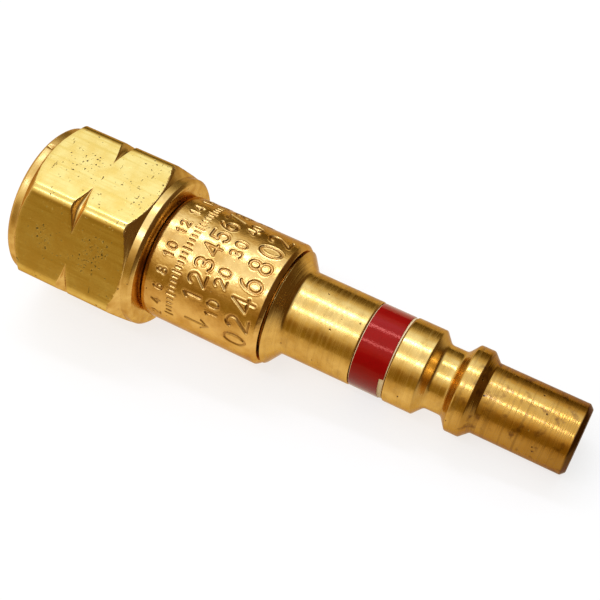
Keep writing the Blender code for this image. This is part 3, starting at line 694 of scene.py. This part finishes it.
# Valve body: brass, turned from round bar and tumbled, then roll-stamped with rows of plain
# counting numbers, a scale and an arrow. The stamp pushes up a fine lip beside each stroke. A
# short lip ring at its front shades the slot behind the nut.
BODY_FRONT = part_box("valve_body")[0][0]
BODY_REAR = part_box("valve_body")[1][0]
BODY_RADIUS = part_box("valve_body")[1][2]
BODY_FRONT_ROUND = 0.5 * MM
BODY_LIP_LENGTH = 0.2 * MM
BODY_LIP_DROP = 0.55 * MM
BODY_CHAMFER_LENGTH = 0.45 * MM
BODY_CHAMFER_DROP = 0.4 * MM
BODY_FRONT_BORE = 5.1 * MM
BODY_REAR_BORE = 5.7 * MM
BODY_EDGE = 0.1 * MM
WEB_FRONT = BODY_FRONT + 6.2 * MM
WEB_REAR = WEB_FRONT + 0.8 * MM
WEB_HOLE = 3.0 * MM
STAMP_STEP = 0.062 * MM
STAMP_FROM = math.radians(212)
STAMP_TO = math.radians(12)
PLAIN_COLUMNS = 90
WIDE_STROKE = 0.17 * MM
FINE_STROKE = 0.115 * MM
STROKE_DEPTH = 0.11 * MM
STROKE_LIP = 0.03 * MM
# These count in half widths of a stroke, from its middle line.
STROKE_FLOOR = 0.45
STROKE_WALL = 0.65
LIP_MIDDLE = 1.5
LIP_SPREAD = 0.4
LIP_END = 3.0


def bow_points(x, y, across, up, start, end, count=12):
    """Give points of an arc of a numeral, in shares of its width and height."""
    turn = np.radians(np.linspace(start, end, count))
    return list(zip(x + across * np.cos(turn), y + up * np.sin(turn)))


NUMERALS = {
    "0": [bow_points(0.5, 0.5, 0.48, 0.5, 0, 360, 20)],
    "1": [[(0.2, 0.8), (0.55, 1.0), (0.55, 0.0)]],
    "2": [bow_points(0.5, 0.72, 0.44, 0.28, 165, -35) + [(0.04, 0.0), (0.98, 0.0)]],
    "3": [
        bow_points(0.46, 0.75, 0.4, 0.25, 150, -90) + bow_points(0.46, 0.26, 0.48, 0.26, 90, -150)
    ],
    "4": [[(0.74, 0.0), (0.74, 1.0), (0.0, 0.3), (1.0, 0.3)]],
    "5": [[(0.9, 1.0), (0.16, 1.0), (0.1, 0.56)] + bow_points(0.46, 0.32, 0.46, 0.32, 130, -150)],
    "6": [
        bow_points(0.5, 0.31, 0.45, 0.31, 0, 360, 16),
        bow_points(0.8, 0.31, 0.75, 0.69, 180, 105),
    ],
    "7": [[(0.02, 1.0), (0.98, 1.0), (0.36, 0.0)]],
    "8": [
        bow_points(0.5, 0.76, 0.36, 0.24, 0, 360, 14),
        bow_points(0.5, 0.26, 0.46, 0.26, 0, 360, 14),
    ],
    "9": [bow_points(0.5, 0.69, 0.45, 0.31, 0, 360, 16), bow_points(0.2, 0.69, 0.75, 0.69, 0, -75)],
}
# Each row: its middle along the body, height, width of a numeral, pitch, where it starts
# round the body, half the width of a stroke, and the numbers in reading order.
STAMP_ROWS = (
    (
        1.95 * MM, 1.05 * MM, 0.62 * MM, 0.95 * MM, -0.9 * MM, FINE_STROKE,
        "2 4 6 8 10 12 14 16 18 20",
    ),
    (6.0 * MM, 1.95 * MM, 1.2 * MM, 1.8 * MM, 3.4 * MM, WIDE_STROKE, "12345678"),
    (8.5 * MM, 1.35 * MM, 0.82 * MM, 1.2 * MM, 2.4 * MM, FINE_STROKE, "10 20 30 40 50 60"),
    (11.55 * MM, 2.5 * MM, 1.36 * MM, 2.2 * MM, 0.3 * MM, WIDE_STROKE, "0246802"),
)
SCALE_ROW = 3.6 * MM
SCALE_PITCH = 0.54 * MM
SCALE_START = 0.2 * MM
SCALE_MARKS = 34
SCALE_GROUP = 5
SCALE_LONG = 0.95 * MM
SCALE_SHORT = 0.55 * MM
ARROW_FROM = 5.6 * MM
ARROW_TO = 8.4 * MM
ARROW_AROUND = 0.9 * MM
ARROW_HEAD = 0.9 * MM
ARROW_SPREAD = 0.7 * ARROW_HEAD

strokes = []
for middle, tall, wide, pitch, start, half, numbers in STAMP_ROWS:
    for place_in_row, number in enumerate(numbers):
        for stroke in NUMERALS.get(number, []):
            strokes.append((half, [
                (middle + tall * (0.5 - up), start + place_in_row * pitch + across * wide)
                for across, up in stroke
            ]))
for mark in range(SCALE_MARKS):
    tall = SCALE_LONG if mark % SCALE_GROUP == 0 else SCALE_SHORT
    around = SCALE_START + mark * SCALE_PITCH
    strokes.append((FINE_STROKE, [(SCALE_ROW - tall / 2, around), (SCALE_ROW + tall / 2, around)]))
strokes.append((FINE_STROKE, [(ARROW_FROM, ARROW_AROUND), (ARROW_TO, ARROW_AROUND)]))
for aside in (-ARROW_SPREAD, ARROW_SPREAD):
    barb = (ARROW_TO - ARROW_HEAD, ARROW_AROUND + aside)
    strokes.append((FINE_STROKE, [barb, (ARROW_TO, ARROW_AROUND)]))


def stroke_distance(along, around, strokes, reach):
    """Give each grid point's distance to the nearest stroke, in half widths of that stroke."""
    nearest = np.full((len(along), len(around)), reach)
    for half, stroke in strokes:
        far = reach * half
        for (x0, v0), (x1, v1) in zip(stroke, stroke[1:]):
            rows = slice(*np.searchsorted(along, (min(x0, x1) - far, max(x0, x1) + far)))
            cols = slice(*np.searchsorted(around, (min(v0, v1) - far, max(v0, v1) + far)))
            x, v = along[rows, None] - x0, around[None, cols] - v0
            run = (x1 - x0) ** 2 + (v1 - v0) ** 2
            share = np.clip((x * (x1 - x0) + v * (v1 - v0)) / run, 0, 1)
            apart = np.hypot(x - share * (x1 - x0), v - share * (v1 - v0)) / half
            nearest[rows, cols] = np.minimum(nearest[rows, cols], apart)
    return nearest


fine = np.arange(STAMP_FROM, STAMP_TO, -STAMP_STEP / BODY_RADIUS)
plain = np.linspace(fine[-1], STAMP_FROM - math.tau, PLAIN_COLUMNS + 1)[1:-1]
body_angles = np.concatenate((fine, plain))
body_skin_steps = round((BODY_REAR - BODY_FRONT) / STAMP_STEP)
body_corners = [
    (BODY_FRONT - BODY_LIP_LENGTH, BODY_RADIUS - BODY_LIP_DROP, 0.05 * MM, 2),
    (BODY_FRONT, BODY_RADIUS - BODY_LIP_DROP, 0.03 * MM, 1),
    (BODY_FRONT, BODY_RADIUS, BODY_FRONT_ROUND, body_skin_steps),
    (BODY_REAR - BODY_CHAMFER_LENGTH, BODY_RADIUS, BODY_EDGE, 3),
    (BODY_REAR, BODY_RADIUS - BODY_CHAMFER_DROP, BODY_EDGE, 3),
    (BODY_REAR, BODY_REAR_BORE, BODY_EDGE, 6),
    (WEB_REAR, BODY_REAR_BORE, BODY_EDGE, 2),
    (WEB_REAR, WEB_HOLE, BODY_EDGE, 1),
    (WEB_FRONT, WEB_HOLE, BODY_EDGE, 2),
    (WEB_FRONT, BODY_FRONT_BORE, BODY_EDGE, 6),
    (BODY_FRONT - BODY_LIP_LENGTH, BODY_FRONT_BORE, BODY_EDGE, 3),
]
stations, radii, runs = section_rows(body_corners, len(body_angles))
on_skin = np.flatnonzero(np.isclose(radii[:, 0], BODY_RADIUS, atol=1e-7) & (runs == 2))
skin_stations = stations[on_skin, 0] - BODY_FRONT
skin_around = (math.pi - body_angles) * BODY_RADIUS
apart = stroke_distance(skin_stations, skin_around, strokes, LIP_END)
slope_share = np.clip((apart - STROKE_FLOOR) / STROKE_WALL, 0, 1)
sunk = 1 - slope_share ** 2 * (3 - 2 * slope_share)
lip = np.exp(-((apart - LIP_MIDDLE) / LIP_SPREAD) ** 2)
radii[on_skin] += lip * STROKE_LIP - sunk * STROKE_DEPTH
recess = np.zeros(radii.shape)
recess[on_skin] = sunk

# Tumbled brass: tumbling with grit dulls the turned surface to a satin orange gold with tiny
# dents and a trace of its rings, and the stamped strokes are coloured darker.
BODY_RINGS_MM = 0.3
tumbled_brass, tree, shader, place = start_material(
    "tumbled brass", "#e6b666", 1.0, 0.24, BRASS_EDGE, BRASS_FILM
)
dents = add_node(tree, "TexNoise", {"Vector": place, "Scale": 2.6, "Detail": 5.0}).outputs[0]
stains = add_node(tree, "TexNoise", {"Vector": place, "Scale": 0.5, "Detail": 6.0}).outputs[0]
darker_in_strokes = add_node(tree, "Attribute", attribute_name="recess").outputs["Fac"]
stain_share = add_node(
    tree, "MapRange", {"Value": stains, "From Min": 0.4, "From Max": 0.72}
).outputs[0]
dots = specks(tree, place, 0.9, 0.09, 0.5)
# The sunk strokes are coloured darker brown by how deep each point lies.
darker_in_strokes_share = add_node(tree, "Math", {0: darker_in_strokes, 1: 0.6}, operation="MULTIPLY").outputs[0]
skin = stained(
    tree, "#e8ba68", (stain_share, "#cb9644"), (darker_in_strokes_share, "#8a5617"), (dots, "#6b4316")
)
tree.links.new(skin, shader.inputs["Base Color"])
rough = add_node(tree, "MapRange", {"Value": dents, "To Min": 0.13, "To Max": 0.32})
tree.links.new(rough.outputs[0], shader.inputs["Roughness"])
rings = turning_lines(tree, place, BODY_RINGS_MM)
height = sum_of(tree, (dents, 0.022), (rings, 0.004), (dots, -0.03))
bump = add_node(tree, "Bump", {"Height": height, "Distance": MM})
tree.links.new(bump.outputs[0], shader.inputs["Normal"])

body = make_piece(
    "stamped_body", round_points(stations, radii, body_angles),
    grid_faces(len(stations), len(body_angles), closed=True), [tumbled_brass],
)
depth = body.data.attributes.new("recess", "FLOAT", "POINT")
depth.data.foreach_set("value", recess.reshape(-1))
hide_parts("valve_body")
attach(body, "coupling")


# Plug pin: brass, turned in one piece: cone, neck, groove for the band, land, locking groove,
# ridge and tip, with a gas bore through it. Its tail screws into the body.
PIN_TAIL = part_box("plug_pin")[0][0]
PIN_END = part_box("plug_pin")[1][0]
PIN_SHOULDER_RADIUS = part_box("plug_pin")[1][2]
PIN_TAIL_RADIUS = 5.4 * MM
POCKET_RADIUS = 3.8 * MM
PIN_BORE = 2.3 * MM
NECK_RADIUS = 4.75 * MM
BAND_FLOOR = 4.15 * MM
LOCK_FLOOR = 3.6 * MM
RIDGE_RADIUS = 4.83 * MM
TIP_RADIUS = 3.92 * MM
TIP_CHAMFER = 0.45 * MM
PIN_COLUMNS = 192
PIN_SHOULDER = NUT_FACE + 30.4 * MM
NECK_START = PIN_SHOULDER + 1.4 * MM
BAND_START = NECK_START + 8.0 * MM
LAND_START = BAND_START + 4.0 * MM
LAND_END = LAND_START + 3.25 * MM
LOCK_START = LAND_END + 0.98 * MM
LOCK_END = LOCK_START + 1.95 * MM
RIDGE_START = LOCK_END + 0.92 * MM
RIDGE_END = RIDGE_START + 1.53 * MM
TIP_START = RIDGE_END + 0.94 * MM
POCKET_END = NUT_FACE + 37.8 * MM
PIN_GROOVE = PIN_SHOULDER - 2.0 * MM
PIN_GROOVE_WIDTH = 1.2 * MM
PIN_GROOVE_FLOOR = 4.5 * MM
PIN_BORE_CHAMFER = 0.25 * MM
LOCK_ROUND = 0.3 * MM

pin_corners = [
    (PIN_TAIL, POCKET_RADIUS, 0.1 * MM, 2),
    (PIN_TAIL, PIN_TAIL_RADIUS, 0.15 * MM, 6),
    (PIN_GROOVE, PIN_TAIL_RADIUS, GROOVE_EDGE, 2),
    (PIN_GROOVE, PIN_GROOVE_FLOOR, GROOVE_EDGE, 2),
    (PIN_GROOVE + PIN_GROOVE_WIDTH, PIN_GROOVE_FLOOR, GROOVE_EDGE, 2),
    (PIN_GROOVE + PIN_GROOVE_WIDTH, PIN_TAIL_RADIUS, GROOVE_EDGE, 2),
    (PIN_SHOULDER, PIN_TAIL_RADIUS, GROOVE_EDGE, 2),
    (PIN_SHOULDER, PIN_SHOULDER_RADIUS, 0.07 * MM, 4),
    (NECK_START - 0.06 * MM, NECK_RADIUS + 0.04 * MM, 0.3 * MM, 60),
    (BAND_START, NECK_RADIUS, 0.12 * MM, 3),
    (BAND_START, BAND_FLOOR, GROOVE_EDGE, 10),
    (LAND_START, BAND_FLOOR, GROOVE_EDGE, 3),
    (LAND_START, NECK_RADIUS, 0.12 * MM, 24),
    (LAND_END, NECK_RADIUS, 0.1 * MM, 4),
    (LOCK_START, LOCK_FLOOR, LOCK_ROUND, 10),
    (LOCK_END, LOCK_FLOOR, LOCK_ROUND, 4),
    (RIDGE_START, RIDGE_RADIUS, 0.14 * MM, 10),
    (RIDGE_END, RIDGE_RADIUS, 0.12 * MM, 4),
    (TIP_START, TIP_RADIUS, 0.12 * MM, 120),
    (PIN_END - TIP_CHAMFER, TIP_RADIUS, 0.1 * MM, 2),
    (PIN_END, TIP_RADIUS - TIP_CHAMFER, GROOVE_EDGE, 3),
    (PIN_END, PIN_BORE + PIN_BORE_CHAMFER, 0, 2),
    (PIN_END - PIN_BORE_CHAMFER, PIN_BORE, 0.06 * MM, 24),
    (POCKET_END, PIN_BORE, GROOVE_EDGE, 2),
    (POCKET_END, POCKET_RADIUS, GROOVE_EDGE, 10),
]
pin_angles = np.linspace(0, math.tau, PIN_COLUMNS, endpoint=False)
stations, radii, runs = section_rows(pin_corners, PIN_COLUMNS)

# Fine turned brass: the finishing cut leaves rings, drawn as coarse as they need to show, and
# coarser ones that show most on the tip. The socket's balls and the heat of use leave ridge and
# tip browner than the neck and smudged, and the rim of the tip carries a painted shade, darkest.
FINE_RINGS_MM = 0.13
COARSE_RINGS_MM = 0.34
PIN_FILM = 0.35
RIM_MM = (PIN_END - TIP_CHAMFER) / MM
fine_brass, tree, shader, place = start_material(
    "fine turned brass", "#dcb25c", 1.0, 0.22, BRASS_EDGE, PIN_FILM
)
rings = turning_lines(tree, place, FINE_RINGS_MM)
coarse = turning_lines(tree, place, COARSE_RINGS_MM)
stains = add_node(tree, "TexNoise", {"Vector": place, "Scale": 0.5, "Detail": 6.0}).outputs[0]
spots = add_node(tree, "TexNoise", {"Vector": place, "Scale": 0.8, "Detail": 4.0}).outputs[0]
line_of_cut = add_node(
    tree, "MapRange", {"Value": coarse, "From Min": 0.5, "From Max": 0.66}
).outputs[0]
dots = specks(tree, place, 0.9, 0.09, 0.3)
along = add_node(tree, "SeparateXYZ", {0: place}).outputs["X"]
worn = add_node(tree, "MapRange", {
    "Value": along, "From Min": LOCK_END / MM, "From Max": RIDGE_END / MM,
}).outputs[0]
stain_share = add_node(
    tree, "MapRange", {"Value": stains, "From Min": 0.4, "From Max": 0.72}
).outputs[0]
spot_share = add_node(
    tree, "MapRange", {"Value": spots, "From Min": 0.56, "From Max": 0.7, "To Max": 0.8}
).outputs[0]
brown_share = add_node(tree, "Math", {0: worn, 1: 0.6}, operation="MULTIPLY").outputs[0]
heated = add_node(tree, "MapRange", {
    "Value": along, "From Min": TIP_START / MM, "From Max": PIN_END / MM, "To Max": 0.45,
}).outputs[0]
smudged = add_node(tree, "MapRange", {"Value": worn, "To Min": 0.25, "To Max": 1.0}).outputs[0]
spot_share = add_node(tree, "Math", {0: spot_share, 1: smudged}, operation="MULTIPLY").outputs[0]
# Painted shade: the tip's end chamfer and face are coloured dark brown.
rim_painted_shade = add_node(tree, "MapRange", {
    "Value": along, "From Min": RIM_MM - 0.15, "From Max": RIM_MM + 0.05, "To Max": 0.8,
}).outputs[0]
cut_share = add_node(tree, "MapRange", {"Value": worn, "To Min": 0.08, "To Max": 0.4}).outputs[0]
cut_share = add_node(tree, "Math", {0: line_of_cut, 1: cut_share}, operation="MULTIPLY").outputs[0]
skin = stained(
    tree, "#e1b661", (stain_share, "#c6963f"), (brown_share, "#ba8222"), (heated, "#b0740f"),
    (spot_share, "#6d3f12"), (rim_painted_shade, "#5f3a12"), (cut_share, "#7c5117"), (dots, "#5a3610"),
)
tree.links.new(skin, shader.inputs["Base Color"])
ring_share = add_node(tree, "MapRange", {
    "Value": sum_of(tree, (rings, 0.4), (coarse, 0.6)), "From Min": 0.4, "From Max": 0.62,
}).outputs[0]
rough = add_node(tree, "MapRange", {"Value": ring_share, "To Min": 0.16, "To Max": 0.33})
tree.links.new(rough.outputs[0], shader.inputs["Roughness"])
ring_depth = add_node(tree, "MapRange", {"Value": worn, "To Min": 0.003, "To Max": 0.05})
deep = add_node(
    tree, "Math", {0: coarse, 1: ring_depth.outputs[0]}, operation="MULTIPLY"
).outputs[0]
height = sum_of(tree, (rings, 0.009), (deep, 1.0), (spots, 0.015), (dots, -0.05))
bump = add_node(tree, "Bump", {"Height": height, "Distance": MM})
tree.links.new(bump.outputs[0], shader.inputs["Normal"])

pin = make_piece(
    "plug_pin_turned", round_points(stations, radii, pin_angles),
    grid_faces(len(stations), PIN_COLUMNS, closed=True), [fine_brass],
)
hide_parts("plug_pin")
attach(pin, "coupling")


# Colour band: one turn of glossy red tape for fuel gas, pressed into its groove. Its red face is
# narrower than its pale backing and cut askew, so a hair of backing shows on the left, more and
# more on the right, and the ends meet in a small step. The backing's pale cream is partly painted
# light.
BAND_OUTER = 4.69 * MM
BAND_INNER = BAND_FLOOR + 0.01 * MM
BAND_LEFT = BAND_START + 0.08 * MM
BAND_RIGHT = LAND_START - 0.1 * MM
BAND_DRIFT = 0.48 * MM
BACKING_SHOWS = 0.07 * MM
BACKING_OUTER = BAND_OUTER - 0.1 * MM
BAND_LAP = math.radians(157)
BAND_SWEEP = math.tau - math.radians(0.4)
BAND_COLUMNS = 240

share = np.linspace(0, 1, BAND_COLUMNS)
band_angles = BAND_LAP - BAND_SWEEP * share
right = BAND_RIGHT - BACKING_SHOWS - BAND_DRIFT * share
band_corners = [
    (BAND_LEFT, BAND_INNER, 0, 4),
    (BAND_LEFT, BACKING_OUTER, 0.01 * MM, 1),
    (BAND_LEFT + BACKING_SHOWS, BACKING_OUTER, 0.01 * MM, 1),
    (BAND_LEFT + BACKING_SHOWS, BAND_OUTER, 0.04 * MM, 16),
    (right, BAND_OUTER, 0.04 * MM, 1),
    (right, BACKING_OUTER, 0.01 * MM, 3),
    (BAND_RIGHT, BACKING_OUTER, 0.03 * MM, 2),
    (BAND_RIGHT, BAND_INNER, 0, 4),
]
stations, radii, runs = section_rows(band_corners, BAND_COLUMNS)
on_tape = (runs == 3) | (runs == 4)
on_backing = np.repeat(~on_tape, BAND_COLUMNS).astype(int)

# Glossy vinyl tape: smooth plastic, pressed unevenly, so its gleam is mottled and rosy.
VINYL_GLEAM = "#ff8a6c"
VINYL_GLOSS = 0.65
red_vinyl, tree, shader, place = start_material(
    "glossy red vinyl tape", "#a1030a", 0.0, 0.12, VINYL_GLEAM
)
shader.inputs["Specular IOR Level"].default_value = VINYL_GLOSS
presses = add_node(tree, "TexNoise", {"Vector": place, "Scale": 1.3, "Detail": 4.0}).outputs[0]
grain = add_node(tree, "TexNoise", {"Vector": place, "Scale": 6.0, "Detail": 2.0}).outputs[0]
tree.links.new(stained(tree, "#920007", (presses, "#a80108")), shader.inputs["Base Color"])
rough = add_node(tree, "MapRange", {"Value": presses, "To Min": 0.07, "To Max": 0.18})
tree.links.new(rough.outputs[0], shader.inputs["Roughness"])
height = sum_of(tree, (presses, 0.016), (grain, 0.006))
bump = add_node(tree, "Bump", {"Height": height, "Distance": MM})
tree.links.new(bump.outputs[0], shader.inputs["Normal"])

# Backing of the tape: matt, with the faint grain of its fibres. Its pale cream is partly painted
# light, brightened against the shade of the groove so the narrow ledge shows as a bright line.
backing_painted_bright, tree, shader, place = start_material("fibrous tape backing painted bright", "#e9cfa0", 0.0, 0.5)
grain = add_node(tree, "TexNoise", {"Vector": place, "Scale": 5.0, "Detail": 3.0}).outputs[0]
tree.links.new(stained(tree, "#ffe8b4", (grain, "#ffd68c")), shader.inputs["Base Color"])
rough = add_node(tree, "MapRange", {"Value": grain, "To Min": 0.4, "To Max": 0.6})
tree.links.new(rough.outputs[0], shader.inputs["Roughness"])

band = make_piece(
    "red_band", round_points(stations, radii, band_angles),
    grid_faces(len(stations), BAND_COLUMNS, closed=True), [red_vinyl, backing_painted_bright], on_backing,
)
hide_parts("colour_band")
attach(band, "coupling")


def dress(names, material):
    """Give CAD nodes, which keep their shape, the material of the real piece."""
    for name in names:
        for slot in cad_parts[name].material_slots:
            slot.link = "OBJECT"
            slot.material = material


# Check valve: a steel sleeve pressed into the plug holds a brass poppet on its seat. The
# poppet's stem slides in a brass spider that a steel clip keeps in.
steel, tree, shader, place = start_material("turned steel", "#c9c8c4", 1.0, 0.3)
rings = turning_lines(tree, place, 0.15)
rough = add_node(tree, "MapRange", {"Value": rings, "To Min": 0.22, "To Max": 0.4})
tree.links.new(rough.outputs[0], shader.inputs["Roughness"])
bump = add_node(tree, "Bump", {"Height": rings, "Distance": 0.006 * MM})
tree.links.new(bump.outputs[0], shader.inputs["Normal"])
dress(["cartridge_sleeve"], steel)

spring_wire, tree, shader, place = start_material("drawn spring wire", "#cfcec9", 1.0, 0.25)
die_marks = add_node(tree, "TexNoise", {"Vector": place, "Scale": 9.0, "Detail": 3.0}).outputs[0]
rough = add_node(tree, "MapRange", {"Value": die_marks, "To Min": 0.18, "To Max": 0.36})
tree.links.new(rough.outputs[0], shader.inputs["Roughness"])
bump = add_node(tree, "Bump", {"Height": die_marks, "Distance": 0.004 * MM})
tree.links.new(bump.outputs[0], shader.inputs["Normal"])
dress(["guide_clip"], spring_wire)
dress(["poppet", "stem_guide"], turned_brass)


# Valve spring: drawn steel wire, coiled with closed ends. It stands between the spider and the
# poppet's head and shuts the poppet. In use it closes up towards the spider as the poppet lifts;
# here it is one fixed coil.
SPRING_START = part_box("valve_spring")[0][0]
SPRING_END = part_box("valve_spring")[1][0]
WIRE_RADIUS = 0.15 * MM
SPRING_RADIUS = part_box("valve_spring")[1][2] - WIRE_RADIUS
SPRING_TURNS = 5.5
CLOSED_TURNS = 0.9
SPRING_STEPS = 264
WIRE_SIDES = 16

turned = np.linspace(0, SPRING_TURNS, SPRING_STEPS)
closed_rise = 2 * WIRE_RADIUS * CLOSED_TURNS
first, last = SPRING_START + WIRE_RADIUS, SPRING_END - WIRE_RADIUS
centre = np.interp(
    turned, [0, CLOSED_TURNS, SPRING_TURNS - CLOSED_TURNS, SPRING_TURNS],
    [first, first + closed_rise, last - closed_rise, last],
)
thick = np.full(SPRING_STEPS, WIRE_RADIUS)
# A last ring without thickness closes the wire at each end.
turned, centre = (np.concatenate((line[:1], line, line[-1:])) for line in (turned, centre))
thick = np.concatenate(([0], thick, [0]))
round_wire = np.linspace(0, math.tau, WIRE_SIDES, endpoint=False)
spring = make_piece(
    "valve_spring_coil",
    round_points(
        centre[:, None] + thick[:, None] * np.cos(round_wire),
        SPRING_RADIUS + thick[:, None] * np.sin(round_wire), math.tau * turned[:, None],
    ),
    grid_faces(len(turned), WIRE_SIDES, closed=False), [spring_wire],
)
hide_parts("valve_spring")
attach(spring, "coupling")
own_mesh(spring)


# Seal rings: moulded nitrile rubber, black and matt, with a faint grain from the mould.
rubber, tree, shader, place = start_material("moulded nitrile rubber", "#1c1c1b", 0.0, 0.6)
grain = add_node(tree, "TexNoise", {"Vector": place, "Scale": 12.0, "Detail": 3.0}).outputs[0]
rough = add_node(tree, "MapRange", {"Value": grain, "To Min": 0.5, "To Max": 0.72})
tree.links.new(rough.outputs[0], shader.inputs["Roughness"])
bump = add_node(tree, "Bump", {"Height": grain, "Distance": 0.01 * MM})
tree.links.new(bump.outputs[0], shader.inputs["Normal"])
dress(["gland_seal", "pin_seal", "sleeve_seal", "poppet_seal"], rubber)


# Dust filter: a disc of sintered bronze, small balls grown together, so it is matt and grainy.
sintered, tree, shader, place = start_material("sintered bronze", "#b98a52", 1.0, 0.55)
balls = add_node(tree, "TexVoronoi", {"Vector": place, "Scale": 6.0}).outputs["Distance"]
tree.links.new(stained(tree, "#c89a5e", (balls, "#5b3c1c")), shader.inputs["Base Color"])
sunk_between = add_node(tree, "Math", {0: 1.0, 1: balls}, operation="SUBTRACT").outputs[0]
bump = add_node(tree, "Bump", {"Height": sunk_between, "Distance": 0.08 * MM})
tree.links.new(bump.outputs[0], shader.inputs["Normal"])
dress(["dust_filter"], sintered)
